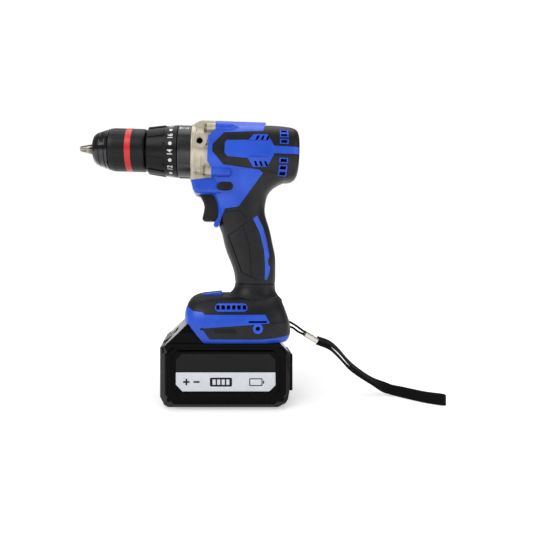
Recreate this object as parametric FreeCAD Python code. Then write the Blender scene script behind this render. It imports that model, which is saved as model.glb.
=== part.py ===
import FreeCAD, Part
import math
import os

from FreeCAD import Vector

# Cordless hammer drill on a slide-on battery pack, with a wrist strap.
#
# Tool frame: X runs from the chuck (-X) to the rear (+X), +Y is the operator's right, +Z is up.
# The battery's flat underside is Z = 0, and X = 0 is the middle of the drill's length.
# The drive line (chuck, gears, motor) is drawn in a head frame whose X is the spindle axis.
# to_tool() tips that frame nose-up and lifts it into place.  All lengths are in millimetres.

# ---------------------------------------------------------------- driving dimensions
AXIS_HEIGHT = 222.15        # spindle axis above the battery's underside, at X = 0
HEAD_TILT = 1.7             # the nose points up by this many degrees
TIP_X = -100.2              # foremost point of the closed jaws, on the spindle axis
REAR_X = 96.2               # rear face of the motor barrel, on the spindle axis

SKIN = 1.6                  # thickness of the soft overmould
WALL = 2.4                  # wall of the hard shell under the overmould
SEAM = 0.15                 # gap all round an overmoulded region
SLIDE_GAP = 0.3             # gap between pieces that slide past each other
RUN_GAP = 0.06              # radial gap of a shaft in its bore

# Motor barrel sections: (x, half width, top, bottom) in the head frame.
BARREL_HALF_WIDTH = 27.4
BARREL_TOP = 24.4
BARREL_BOTTOM = 26.0
BARREL_FRONT = 16.0
BARREL_POWER = 2.6          # how square a section is: 2 is an ellipse
RIDGE_TOP = 26.4            # flat blue ridge on top of the barrel
RIDGE_START = 20.0
RIDGE_END = 67.0
RIDGE_HALF_WIDTH = 11.0
RIDGE_SLOPE = 5.4           # how far each side of the ridge slopes out, and its rear end

# Grip sections: (height, front x, rear x, half width).
GRIP_SECTIONS = [
    (80.0, 16.0, 85.5, 28.0),
    (86.0, 24.5, 84.2, 25.6),
    (90.0, 31.5, 81.8, 22.4),
    (94.0, 37.6, 78.8, 19.4),
    (99.0, 40.9, 77.7, 17.9),
    (106.0, 41.3, 78.0, 17.4),
    (115.0, 39.6, 78.1, 17.2),
    (126.0, 35.4, 77.8, 17.2),
    (138.0, 31.6, 75.4, 17.4),
    (148.0, 29.2, 73.4, 17.6),
    (157.0, 25.8, 70.8, 17.9),
    (166.0, 24.4, 68.4, 18.3),
    (175.0, 23.4, 68.9, 18.8),
    (183.0, 19.0, 71.4, 19.6),
    (190.0, 13.0, 78.4, 20.8),
    (196.0, 8.0, 90.0, 22.0),
    (203.0, 6.0, 95.0, 23.0),
]
GRIP_POWER = 2.5
NECK_SEAM = 103.0           # where the grip's overmould ends and the foot's begins

# Foot sections: (height, front x, rear x, half width).
FOOT_BOTTOM = 54.3
FOOT_TOP = 91.8
FOOT_SECTIONS = [
    (FOOT_BOTTOM, -3.2, 86.8, 32.4),
    (58.0, -3.9, 88.8, 33.1),
    (65.0, -4.1, 89.4, 33.3),
    (72.0, -4.0, 88.0, 32.9),
    (79.0, -3.4, 85.6, 31.2),
    (84.0, -1.6, 83.8, 28.6),
    (88.0, 1.4, 82.0, 25.0),
    (90.6, 5.4, 80.2, 21.6),
    (FOOT_TOP, 9.6, 78.4, 18.4),
]
FOOT_POWER = 4.6

# Trigger housing below the gear case.
NOSE_HALF_WIDTH = 18.6
NOSE_EDGE = 3.6             # rounding of its long edges
NOSE_OUTLINE = [
    (1.1, 199.5), (1.3, 196.5), (3.4, 186.4), (5.4, 183.4), (8.4, 182.4),
    (27.0, 182.4), (46.0, 188.0), (46.0, 206.0), (1.1, 206.0),
]

# Gear case and the gears in it.
CASE_FRONT = 2.0
CASE_JOINT = 23.0           # rear end of the case's screw bosses
CASE_STEP = 0.5             # how far the case's raised top stays below the ridge
SKIRT_FRONT = -28.0         # lower edge of the case's skirt at its front, and at its rear
SKIRT_REAR = -25.3
SKIRT_REAR_X = 20.5
CASE_RADIUS = 24.4
CASE_BORE = 20.65
CASE_REAR = 27.5
CASE_SPIGOT = 23.4          # radius of the rear end that the shells clamp
CLUTCH_TUBE_RADIUS = 22.0
CLUTCH_WALL_X = -9.6
CLUTCH_WALL = 1.0
NOSE_TUBE_RADIUS = 12.5
NOSE_TUBE_X = -33.0
BOSS_Y = 20.5               # the four case screws stand this far to each side
BOSS_HIGH = 17.8            # height of the upper two above the axis
BOSS_LOW = -20.6            # and of the lower two
CASE_BOSS_RADIUS = 3.9
SHELL_BOSS_RADIUS = 4.4
SHELL_BOSS_END = 36.4
SHELL_BOSS_SLOPES = (2.6, 7.0)   # length of the sloping end of a lower boss, and of an upper one
WEB_STEP = 0.3              # the web behind a shell boss is this much narrower to each side
SCREW_RADIUS = 2.0
SCREW_HEAD_RADIUS = 3.5
SCREW_HEAD = 2.6
SIDE_HOLE_X = 9.7           # threaded hole for an auxiliary handle, each side
SIDE_HOLE_Z = 4.8
SIDE_HOLE_RADIUS = 2.9
SIDE_HOLE_DEPTH = 4.6
SIDE_BOSS_RADIUS = 6.2
SIDE_BOSS_FACE = 26.8

MODULE = 0.75
SUN_TEETH = 15
PLANET_TEETH = 15
RING_TEETH = 45
PLANETS = 3
BACKLASH = 0.10
GEAR_WIDTH = 5.4
PLANET_PIN_RADIUS = 1.9
CARRIER_RADIUS = 13.6
CARRIER_DISC = 2.4
STAGE_B_X = -4.3            # front of the output stage's planets
STAGE_A_X = 3.6             # front of the input stage's planets
SHIFT_TRAVEL = 4.6          # how far the sliding ring gear moves back for high speed

SPINDLE_RADIUS = 5.0
BEARING_RADIUS = 9.5
BEARING_WIDTH = 6.0
BEARING_FRONT_X = -31.5

# Torque collar and mode ring round the nose of the gear case.
COLLAR_FRONT = -38.0
COLLAR_REAR = -10.2
COLLAR_FRONT_RADIUS = 20.4
COLLAR_REAR_RADIUS = 23.7
COLLAR_BORE = 18.6
COLLAR_PADS = 10
COLLAR_PAD_RISE = 0.7
MODE_FRONT = -9.8
MODE_REAR = 1.7
MODE_RADIUS = 23.6
MODE_RIB_PATCHES = (108.0, 198.0, 288.0)    # turned from the top, where the mode signs are printed
MODE_RIBS = 11
MODE_RIB_STEP = 3.7

# Keyless chuck.
CHUCK_RADIUS = 19.4
CHUCK_REAR = -39.0
SLEEVE_FRONT = -71.6
BAND_FRONT = -56.5
BAND_REAR = -51.3
BAND_DEPTH = 0.5
CHUCK_BODY_RADIUS = 15.6
NOSE_FACE = -87.2
JAW_ANGLE = 13.0
JAW_APEX = 8.0              # the jaws' axes meet this far ahead of the tips
JAW_RADIUS = 3.8
JAW_LENGTH = 36.0
JAW_TIP_RADIUS = 2.3        # the closed jaws end in a cone: its radius at the tip, at its rear, and its length
JAW_CONE_RADIUS = 5.2
JAW_CONE_LENGTH = 13.4
JAW_TRAVEL = 17.8
BIT_RADIUS = 1.0            # the closed jaws hold a shank of this radius
GRIP_LENGTH = 10.0
NUT_FRONT = -69.2
NUT_WIDTH = 7.0
NUT_RADIUS = 17.0
SLEEVE_BORE = 18.3          # bore of the sleeve behind the nut, where the open jaws reach out

# Motor.
STATOR_RADIUS = 19.8
STATOR_BORE = 11.0
STATOR_FRONT = 36.0
STATOR_LENGTH = 26.0
ROTOR_RADIUS = 10.4
SHAFT_RADIUS = 2.5
MOTOR_GAP = 0.6             # room round the motor
FAN_X = 70.0
FAN_RADIUS = 19.2
MOTOR_PLATE_X = 20.5

# Trigger.
TRIGGER_HALF_WIDTH = 8.4
TRIGGER_TRAVEL = 6.0
TRIGGER_TOP = 183.4
TRIGGER_BOTTOM = 158.4
DIRECTION_X = 31.6
DIRECTION_Z = 188.5
DIRECTION_LENGTH = 13.6
DIRECTION_HEIGHT = 6.2
DIRECTION_PROUD = 4.2
DIRECTION_TRAVEL = 3.0

# Battery pack.
PACK_HALF_WIDTH = 37.5
PACK_FRONT = -24.0
PACK_REAR = 85.8
PACK_TOP = 54.0
PACK_SPLIT = 30.0           # height of the joint between lower and upper case
PACK_CHAMFER = 7.2
PACK_WALL = 2.2
CELL_RADIUS = 9.2
CELL_LENGTH = 65.0
CELL_COLUMNS = 5
CELL_GAP = 0.6                  # between neighbouring cells
CELL_PITCH = 2 * CELL_RADIUS + CELL_GAP
CELL_LIFT = 3.4                 # the cells stand this far above the pack's inner floor, clear of its chamfers
RAIL_NECK = 18.5
RAIL_HEAD = 22.4
RAIL_HEAD_BOTTOM = 57.4
RAIL_TOP = 61.0
RAIL_FRONT = 4.0
RAIL_END = 76.0
SNOUT_HALF_WIDTH = 31.6
SNOUT_TOP = 69.2
PACK_TRAVEL = 90.0
LATCH_TRAVEL = 3.0
GAUGE_TRAVEL = 0.8

# Wrist strap.
STRAP_PIN_X = 86.4
STRAP_PIN_Z = 64.8
STRAP_PIN_RADIUS = 1.4
CORD_DIAMETER = 2.0
WEB_TUBE_DIAMETER = 1.6
FERRULE_START = (105.1, 0.0, 56.0)
FERRULE_LENGTH = 12.7
FERRULE_WIDTH = 9.8
FERRULE_HEIGHT = 4.9
FERRULE_FALL = 30.8         # how many degrees the ferrule points down

X_AXIS = Vector(1, 0, 0)
Y_AXIS = Vector(0, 1, 0)
Z_AXIS = Vector(0, 0, 1)
FAR = 200.0                 # a length that clears the whole tool


# ---------------------------------------------------------------- helpers
def to_tool(shape):
    """Moves a shape from the head frame into the tool frame."""
    placed = shape.copy()
    placed.rotate(Vector(0, 0, 0), Y_AXIS, HEAD_TILT)
    placed.translate(Vector(0, 0, AXIS_HEIGHT))
    return placed


def rod_x(radius, x0, x1, y=0.0, z=0.0):
    return Part.makeCylinder(radius, x1 - x0, Vector(x0, y, z), X_AXIS)


def tube_x(outer, inner, x0, x1):
    return rod_x(outer, x0, x1).cut(rod_x(inner, x0 - 1, x1 + 1))


def rod_y(radius, x, z, y0, y1):
    return Part.makeCylinder(radius, y1 - y0, Vector(x, y0, z), Y_AXIS)


def block(x0, x1, y0, y1, z0, z1):
    return Part.makeBox(x1 - x0, y1 - y0, z1 - z0, Vector(x0, y0, z0))


def side_face(outline, y=0.0):
    points = [Vector(x, y, z) for x, z in outline]
    return Part.Face(Part.makePolygon(points + points[:1]))


def prism(outline, y0, y1):
    """A flat outline in X and Z, given thickness from y0 to y1."""
    return side_face(outline, y0).extrude(Vector(0, y1 - y0, 0))


def grown(outline, by):
    """The outline with every side moved outwards."""
    area = 0.0
    count = len(outline)
    for i in range(count):
        x0, z0 = outline[i - 1]
        x1, z1 = outline[i]
        area += x0 * z1 - x1 * z0
    side = 1.0 if area > 0 else -1.0
    moved = []
    for i in range(count):
        here = Vector(outline[i][0], outline[i][1], 0)
        before = (here - Vector(*outline[i - 1], 0)).normalize()
        after = (Vector(*outline[(i + 1) % count], 0) - here).normalize()
        n0 = Vector(before.y, -before.x, 0) * side
        n1 = Vector(after.y, -after.x, 0) * side
        middle = (n0 + n1).normalize()
        reach = by / max(0.35, middle.dot(n0))
        moved.append((here.x + middle.x * reach, here.y + middle.y * reach))
    return moved


def spun(profile):
    """A closed profile of (x, radius) points turned round the X axis."""
    points = [Vector(x, 0, r) for x, r in profile]
    face = Part.Face(Part.makePolygon(points + points[:1]))
    return face.revolve(Vector(0, 0, 0), X_AXIS, 360)


def oval(half_a, half_b, power, place, count=28):
    """A closed smooth curve between an ellipse and a rectangle. place maps its two coordinates to 3-D."""
    points, plan = [], []
    for i in range(count):
        angle = 2 * math.pi * i / count
        c, s = math.cos(angle), math.sin(angle)
        a = math.copysign(abs(c) ** (2 / power), c)
        b = math.copysign(abs(s) ** (2 / power), s)
        plan.append((a, b))
        points.append(place(half_a * a, half_b * b))
    spans = [0.0]
    for here, there in zip(plan, plan[1:] + plan[:1]):
        spans.append(spans[-1] + math.dist(here, there))
    curve = Part.BSplineCurve()
    curve.interpolate(Points=points, PeriodicFlag=True, Parameters=spans)
    return Part.Wire([curve.toShape()])


def mirrored(shape):
    return shape.mirror(Vector(0, 0, 0), Y_AXIS)


def around_x(shape, count, start=0.0):
    """Copies of a shape spread evenly round the X axis."""
    copies = []
    for i in range(count):
        copy = shape.copy()
        copy.rotate(Vector(0, 0, 0), X_AXIS, start + 360.0 * i / count)
        copies.append(copy)
    return copies


def fused(shapes):
    whole = shapes[0]
    if len(shapes) > 1:
        whole = whole.multiFuse(shapes[1:])
    return whole.removeSplitter()


def socket_screw(x_head, x_end, y, z):
    """A socket head screw along X, head at the front."""
    head = rod_x(SCREW_HEAD_RADIUS, x_head, x_head + SCREW_HEAD, y, z)
    socket = rod_x(SCREW_RADIUS, x_head - 1, x_head + SCREW_HEAD * 0.6, y, z)
    return head.cut(socket).fuse(rod_x(SCREW_RADIUS, x_head + SCREW_HEAD, x_end, y, z))


# ---------------------------------------------------------------- gears
def gear_outline(teeth, tip, root, half_tooth):
    """Outline points of a gear in Y and Z. half_tooth is half a tooth's angle at the pitch circle."""
    pitch = MODULE * teeth / 2
    base = pitch * math.cos(math.radians(20))
    start = max(root, base)

    def involute(radius):
        ratio = max(1.0, radius / base)
        return math.sqrt(ratio * ratio - 1) - math.acos(1 / ratio)

    flank = [start + (tip - start) * t for t in (0.0, 0.35, 0.7, 1.0)]
    at_pitch = involute(pitch)
    half = [(root, half_tooth + at_pitch - involute(start))]
    half += [(r, half_tooth + at_pitch - involute(r)) for r in flank]
    points = []
    for tooth in range(teeth):
        centre = 2 * math.pi * tooth / teeth
        points += [(r, centre - a) for r, a in half]
        points += [(r, centre + a) for r, a in reversed(half)]
    return [Vector(0, r * math.cos(a), r * math.sin(a)) for r, a in points]


def gear_solid(outline, x0, x1, turn):
    face = Part.Face(Part.makePolygon(outline + outline[:1]))
    solid = face.extrude(Vector(x1 - x0, 0, 0))
    solid.translate(Vector(x0, 0, 0))
    solid.rotate(Vector(0, 0, 0), X_AXIS, turn)
    return solid


def spur_gear(teeth, x0, x1, turn=0.0):
    pitch = MODULE * teeth / 2
    half_tooth = math.pi / (2 * teeth) - BACKLASH / (2 * pitch)
    outline = gear_outline(teeth, pitch + 0.9 * MODULE, pitch - 1.2 * MODULE, half_tooth)
    return gear_solid(outline, x0, x1, turn)


def ring_space(teeth, x0, x1, turn=0.0):
    """The toothed hole of an internal gear."""
    pitch = MODULE * teeth / 2
    half_tooth = math.pi / (2 * teeth) + BACKLASH / (2 * pitch)
    outline = gear_outline(teeth, pitch + 1.25 * MODULE, pitch - 0.85 * MODULE, half_tooth)
    return gear_solid(outline, x0, x1, turn)


PLANET_ORBIT = MODULE * (SUN_TEETH + PLANET_TEETH) / 2
PLANET_ANGLES = [90.0 + 360.0 * k / PLANETS for k in range(PLANETS)]


def planet_turn(angle):
    """How far a planet at this angle is turned so that it meshes with a sun whose tooth points along +Y."""
    sun_step = 360.0 / SUN_TEETH
    share = (angle % sun_step) / sun_step
    return angle + 180.0 + (share - 0.5) * 360.0 / PLANET_TEETH


def ring_turn():
    """How far the ring gears are turned so that they mesh with the first planet."""
    angle = PLANET_ANGLES[0]
    planet_step = 360.0 / PLANET_TEETH
    share = ((angle - planet_turn(angle)) % planet_step) / planet_step
    return angle - share * 360.0 / RING_TEETH


def planet(angle, x0):
    gear = spur_gear(PLANET_TEETH, x0, x0 + GEAR_WIDTH, planet_turn(angle))
    gear = gear.cut(rod_x(PLANET_PIN_RADIUS + RUN_GAP, x0 - 1, x0 + GEAR_WIDTH + 1))
    turn = math.radians(angle)
    gear.translate(Vector(0, PLANET_ORBIT * math.cos(turn), PLANET_ORBIT * math.sin(turn)))
    return gear


def planet_pins(x0, x1):
    pins = []
    for angle in PLANET_ANGLES:
        turn = math.radians(angle)
        y, z = PLANET_ORBIT * math.cos(turn), PLANET_ORBIT * math.sin(turn)
        pins.append(rod_x(PLANET_PIN_RADIUS, x0, x1, y, z))
    return pins


RING_OUTER = CASE_BORE - RUN_GAP


def clutch_ring_gear():
    x0, x1 = CLUTCH_WALL_X + CLUTCH_WALL + 0.1, STAGE_B_X + GEAR_WIDTH + 0.4
    ring = tube_x(RING_OUTER, CARRIER_RADIUS + 2.0, x0, x1)
    return ring.cut(ring_space(RING_TEETH, x0 - 1, x1 + 1, ring_turn()))


SLIDING_RING_X = STAGE_A_X - 0.6
SLIDING_RING_WIDTH = GEAR_WIDTH + SHIFT_TRAVEL + 0.4


def sliding_ring_gear():
    """Ring gear of the input stage. The shift fork rides in the groove round it."""
    x0 = SLIDING_RING_X
    x1 = x0 + SLIDING_RING_WIDTH
    ring = rod_x(RING_OUTER, x0, x1).cut(ring_space(RING_TEETH, x0 - 1, x1 + 1, ring_turn()))
    groove = tube_x(RING_OUTER + 1, RING_OUTER - 1.2, x1 - 4.4, x1 - 1.6)
    return ring.cut(groove)


def output_spindle():
    """Planet carrier of the output stage and the spindle that the chuck screws on."""
    disc_front = STAGE_B_X - 0.4 - CARRIER_DISC
    disc = rod_x(CARRIER_RADIUS, disc_front, disc_front + CARRIER_DISC)
    pins = planet_pins(disc_front + CARRIER_DISC, STAGE_B_X + GEAR_WIDTH + 0.2)
    shaft = rod_x(SPINDLE_RADIUS, BEARING_FRONT_X, disc_front)
    collar = rod_x(SPINDLE_RADIUS + 2.0, BEARING_FRONT_X + BEARING_WIDTH + 0.1, disc_front)
    nose = rod_x(SPINDLE_RADIUS - 0.4, CHUCK_REAR - 12.0, BEARING_FRONT_X)
    return fused([disc, shaft, collar, nose] + pins)


def input_carrier():
    """Planet carrier of the input stage, in one piece with the output stage's sun gear."""
    disc_front = STAGE_A_X - 0.4 - CARRIER_DISC + 0.6
    disc = rod_x(CARRIER_RADIUS, disc_front, STAGE_A_X - 0.3)
    sun = spur_gear(SUN_TEETH, STAGE_B_X + 0.1, disc_front)
    pins = planet_pins(STAGE_A_X - 0.3, STAGE_A_X + GEAR_WIDTH + 0.2)
    return fused([disc, sun] + pins)


# ---------------------------------------------------------------- gear case
def case_boss(y, z, radius, x0, x1):
    """A screw boss and the web that ties it to the case."""
    boss = rod_x(radius, x0, x1, y, z)
    length = math.hypot(y, z)
    web = block(x0, x1, 0, length, -radius, radius)
    web.rotate(Vector(0, 0, 0), X_AXIS, math.degrees(math.atan2(z, y)))
    return boss.fuse(web)


BOSSES = [(side * BOSS_Y, z) for side in (-1, 1) for z in (BOSS_LOW, BOSS_HIGH)]


def boss_joint(z):
    """Where the case's boss at height z meets the shell's own boss."""
    return CASE_JOINT if z > 0 else SKIRT_REAR_X


def gear_case():
    """Cast case: main barrel, clutch tube, nose tube, screw bosses and the raised top."""
    barrel = rod_x(CASE_RADIUS, CASE_FRONT, CASE_JOINT)
    lip = rod_x(CASE_RADIUS + 0.4, CASE_FRONT, CASE_FRONT + 4.2)
    lip = lip.makeFillet(0.8, [e for e in lip.Edges if e.BoundBox.XLength < 0.1])
    spigot = rod_x(CASE_SPIGOT, CASE_JOINT - 1, CASE_REAR)
    clutch = rod_x(CLUTCH_TUBE_RADIUS, CLUTCH_WALL_X, CASE_FRONT + 1)
    nose = rod_x(NOSE_TUBE_RADIUS, NOSE_TUBE_X, CLUTCH_WALL_X + 1)
    high = RIDGE_TOP - CASE_STEP
    top = prism([(4.6, 18.0), (4.6, 22.2), (11.4, high), (CASE_JOINT, high), (CASE_JOINT, 18.0)], -15.5, 15.5)
    long_edges = [e for e in top.Edges if e.BoundBox.ZMin > high - 0.1 and e.BoundBox.XLength > 9]
    top = top.makeFillet(2.2, [e for e in long_edges if e.BoundBox.YLength < 0.1])
    skirt = prism([
        (CASE_FRONT, SKIRT_FRONT), (SKIRT_REAR_X, SKIRT_REAR), (SKIRT_REAR_X, -14.0), (CASE_FRONT, -14.0),
    ], -NOSE_HALF_WIDTH + 0.3, NOSE_HALF_WIDTH - 0.3)
    skirt = skirt.makeFillet(2.4, [e for e in skirt.Edges if abs(e.BoundBox.XMax - CASE_FRONT) < 0.1 and e.BoundBox.YLength < 0.1])
    ribs = [block(6.0, CASE_JOINT, -1.0, 1.0, CASE_RADIUS - 1, CASE_RADIUS + 1.2)]
    ribs = [r for rib in ribs for r in around_x(rib, 2, 90)]
    bosses = [case_boss(y, z, CASE_BOSS_RADIUS, 15.6, boss_joint(z)) for y, z in BOSSES]
    side = [rod_y(SIDE_BOSS_RADIUS, SIDE_HOLE_X, SIDE_HOLE_Z, -SIDE_BOSS_FACE, SIDE_BOSS_FACE)]
    case = fused([barrel, lip, spigot, clutch, nose, top, skirt] + ribs + bosses + side)
    case = case.cut(rod_x(CASE_BORE, CLUTCH_WALL_X + CLUTCH_WALL, CASE_REAR + 1))
    case = case.cut(rod_x(SPINDLE_RADIUS + 3.4, NOSE_TUBE_X - 1, CLUTCH_WALL_X + 2))
    case = case.cut(rod_x(BEARING_RADIUS + 0.02, NOSE_TUBE_X - 1, BEARING_FRONT_X + BEARING_WIDTH))
    for y, z in BOSSES:
        case = case.cut(rod_x(SCREW_RADIUS + 0.2, 10.0, CASE_JOINT + 1, y, z))
        case = case.cut(rod_x(SCREW_HEAD_RADIUS + 0.2, CASE_FRONT + 4.4, 15.6, y, z))
    for side_sign in (-1, 1):
        face = side_sign * SIDE_BOSS_FACE
        inner = side_sign * (SIDE_BOSS_FACE - SIDE_HOLE_DEPTH)
        y0, y1 = sorted((face + side_sign, inner))
        case = case.cut(rod_y(SIDE_HOLE_RADIUS, SIDE_HOLE_X, SIDE_HOLE_Z, y0, y1))
    fork_slot = block(CASE_FRONT + 4, CASE_REAR + 1, -3.2, 3.2, CASE_BORE - 3, FORK_TOP + SLIDE_GAP)
    return case.cut(fork_slot)


def torque_collar():
    pads_front, pads_rear = COLLAR_FRONT + 1.2, -20.4
    slope = (COLLAR_REAR_RADIUS - COLLAR_FRONT_RADIUS) / (COLLAR_REAR - COLLAR_FRONT)

    def radius_at(x):
        return COLLAR_FRONT_RADIUS + slope * (x - COLLAR_FRONT)

    body = spun([
        (COLLAR_FRONT, COLLAR_BORE - 3.0), (COLLAR_FRONT, COLLAR_FRONT_RADIUS - 1.4),
        (COLLAR_FRONT + 1.2, COLLAR_FRONT_RADIUS), (COLLAR_REAR - 0.4, radius_at(COLLAR_REAR - 0.4)),
        (COLLAR_REAR, COLLAR_REAR_RADIUS - 0.5), (COLLAR_REAR, COLLAR_BORE),
        (COLLAR_FRONT + 2.6, COLLAR_BORE), (COLLAR_FRONT + 2.6, COLLAR_BORE - 3.0),
    ])
    ring = spun([
        (pads_front, COLLAR_FRONT_RADIUS - 1), (pads_front, radius_at(pads_front) + COLLAR_PAD_RISE),
        (pads_rear - 2, radius_at(pads_rear) + COLLAR_PAD_RISE), (pads_rear, radius_at(pads_rear) - 0.3),
    ])
    half_front = radius_at(pads_front) * math.sin(math.radians(13))
    half_rear = radius_at(pads_rear) * math.sin(math.radians(9))
    wedge = Part.Face(Part.makePolygon([
        Vector(pads_front - 1, -half_front, 0), Vector(pads_rear + 1, -half_rear, 0),
        Vector(pads_rear + 1, half_rear, 0), Vector(pads_front - 1, half_front, 0),
        Vector(pads_front - 1, -half_front, 0),
    ])).extrude(Vector(0, 0, 40))
    pad = ring.common(wedge)
    return fused([body] + around_x(pad, COLLAR_PADS, 90.0))


def mode_ring():
    body = tube_x(MODE_RADIUS, CLUTCH_TUBE_RADIUS + 0.15, MODE_FRONT, MODE_REAR)
    body = body.makeFillet(0.4, [e for e in body.Edges if abs(e.Length - 2 * math.pi * MODE_RADIUS) < 1])
    rib = block(MODE_FRONT + 0.8, MODE_REAR - 0.8, -0.32, 0.32, MODE_RADIUS - 0.6, MODE_RADIUS + 0.45)
    ribs = []
    for middle in MODE_RIB_PATCHES:
        for i in range(MODE_RIBS):
            copy = rib.copy()
            copy.rotate(Vector(0, 0, 0), X_AXIS, middle + (i - (MODE_RIBS - 1) / 2) * MODE_RIB_STEP)
            ribs.append(copy)
    return fused([body] + ribs)


def clutch_spring():
    """A two-turn wave of wire, kept as separate closed rings that stand one behind the other."""
    rings = []
    for i in range(4):
        centre = Vector(COLLAR_FRONT + 6.0 + 4.2 * i, 0, 0)
        rings.append(Part.makeTorus(15.2, 1.1, centre, X_AXIS))
    return Part.Compound(rings)


def spindle_bearing():
    inner = tube_x(SPINDLE_RADIUS + 1.6, SPINDLE_RADIUS + RUN_GAP, BEARING_FRONT_X, BEARING_FRONT_X + BEARING_WIDTH)
    outer = tube_x(BEARING_RADIUS, BEARING_RADIUS - 1.3, BEARING_FRONT_X, BEARING_FRONT_X + BEARING_WIDTH)
    middle = (SPINDLE_RADIUS + 1.6 + BEARING_RADIUS - 1.3) / 2
    ball_radius = (BEARING_RADIUS - 1.3 - SPINDLE_RADIUS - 1.6) / 2
    ball = Part.makeSphere(ball_radius, Vector(BEARING_FRONT_X + BEARING_WIDTH / 2, middle, 0))
    return Part.Compound([inner, outer] + around_x(ball, 9))


# ---------------------------------------------------------------- chuck
def nose_profile():
    """Three turned steps, each with a fine groove behind it."""
    steps = [
        (0.0, 9.4), (0.3, 10.8), (1.2, 12.8), (3.6, 14.6), (6.4, 15.7), (6.8, 15.2), (7.3, 15.3), (7.7, 16.1),
        (11.5, 17.4), (11.9, 16.9), (12.4, 17.0), (12.8, 17.8), (14.3, 18.4), (15.0, 18.1), (15.2, 17.0),
    ]
    return [(NOSE_FACE + x, radius) for x, radius in steps]


def jaw_hole(radius, extra=0.0):
    """One inclined hole for a jaw: its axis meets the chuck axis just ahead of the tips."""
    tilt = math.radians(JAW_ANGLE)
    start = Vector(TIP_X - JAW_APEX, 0, 0)
    direction = Vector(math.cos(tilt), 0, math.sin(tilt))
    return Part.makeCylinder(radius + extra, 90.0, start, direction)


def jaw_outside(x):
    """Radius of the jaws' outer edge where they cross this station."""
    tilt = math.radians(JAW_ANGLE)
    return (x - TIP_X + JAW_APEX) * math.tan(tilt) + JAW_RADIUS / math.cos(tilt)


def chuck_body():
    """Steel body with the black nose, the three jaw holes and the thread on the spindle."""
    outline = [(NOSE_FACE, 0.0)] + nose_profile() + [
        (SLEEVE_FRONT - 0.4, CHUCK_BODY_RADIUS), (CHUCK_REAR - 3.2, CHUCK_BODY_RADIUS),
        (CHUCK_REAR - 3.2, 11.5), (CHUCK_REAR, 11.5), (CHUCK_REAR, 0.0),
    ]
    body = spun(outline)
    for hole in around_x(jaw_hole(JAW_RADIUS, SLIDE_GAP / 2), 3, 30.0):
        body = body.cut(hole.common(rod_x(60.0, NOSE_FACE - 5, CHUCK_REAR - 4.0)))
    body = body.cut(rod_x(6.9, NOSE_FACE - 1, CHUCK_REAR - 18.0))
    body = body.cut(rod_x(SPINDLE_RADIUS - 0.4, CHUCK_REAR - 12.0, CHUCK_REAR + 1))
    groove_depth = jaw_outside(NUT_FRONT) - 0.3
    body = body.cut(tube_x(CHUCK_BODY_RADIUS + 1, groove_depth, NUT_FRONT - 0.3, NUT_FRONT + NUT_WIDTH + 0.3))
    return body.cut(rod_x(2.4, CHUCK_REAR - 18.5, CHUCK_REAR - 11.0))


def jaw_nut():
    """Ring that drives the jaws. It runs in the body's groove and turns with the sleeve."""
    rear = NUT_FRONT + NUT_WIDTH
    return spun([
        (NUT_FRONT, jaw_outside(NUT_FRONT) + SLIDE_GAP), (NUT_FRONT, NUT_RADIUS), (rear, NUT_RADIUS),
        (rear, jaw_outside(rear) + SLIDE_GAP),
    ])


def chuck_sleeve():
    """Moulded sleeve. Its seats hold the nut and the coloured band."""
    bore = CHUCK_BODY_RADIUS + 0.3
    nut_rear = NUT_FRONT + NUT_WIDTH
    body = spun([
        (SLEEVE_FRONT, bore), (SLEEVE_FRONT, CHUCK_RADIUS - 1.0), (SLEEVE_FRONT + 0.5, CHUCK_RADIUS - 0.5),
        (SLEEVE_FRONT + 4.0, CHUCK_RADIUS), (BAND_FRONT, CHUCK_RADIUS), (BAND_FRONT, CHUCK_RADIUS - BAND_DEPTH),
        (BAND_REAR, CHUCK_RADIUS - BAND_DEPTH), (BAND_REAR, CHUCK_RADIUS), (CHUCK_REAR - 2.2, CHUCK_RADIUS),
        (CHUCK_REAR - 0.9, CHUCK_RADIUS - 0.4), (CHUCK_REAR - 0.4, CHUCK_RADIUS - 0.8), (CHUCK_REAR - 0.4, SLEEVE_BORE),
        (nut_rear + 1.3, SLEEVE_BORE),
        (nut_rear, NUT_RADIUS), (NUT_FRONT, NUT_RADIUS), (NUT_FRONT, bore),
    ])
    flute = block(SLEEVE_FRONT + 3.4, BAND_FRONT - 0.8, -0.45, 0.45, CHUCK_RADIUS - 0.2, CHUCK_RADIUS + 1)
    return body.cut(Part.Compound(around_x(flute, 30)))


def sleeve_band():
    return tube_x(CHUCK_RADIUS + 0.15, CHUCK_RADIUS - BAND_DEPTH, BAND_FRONT, BAND_REAR)


def chuck_rear_cover():
    """Ring inside the sleeve's rear end, fixed to the chuck body."""
    radius = SLEEVE_BORE - SLIDE_GAP
    return spun([
        (CHUCK_REAR, 11.5), (CHUCK_REAR, radius - 0.5), (CHUCK_REAR - 0.5, radius), (CHUCK_REAR - 3.0, radius),
        (CHUCK_REAR - 3.0, CHUCK_BODY_RADIUS), (CHUCK_REAR - 3.2, CHUCK_BODY_RADIUS), (CHUCK_REAR - 3.2, 11.5),
    ])


def chuck_screw():
    """Left-hand screw through the body into the spindle."""
    head = rod_x(5.4, CHUCK_REAR - 21.6, CHUCK_REAR - 18.1)
    shank = rod_x(2.3, CHUCK_REAR - 18.1, CHUCK_REAR - 12.1)
    socket = rod_x(2.4, CHUCK_REAR - 22.6, CHUCK_REAR - 19.6)
    return head.fuse(shank).cut(socket)


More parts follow.
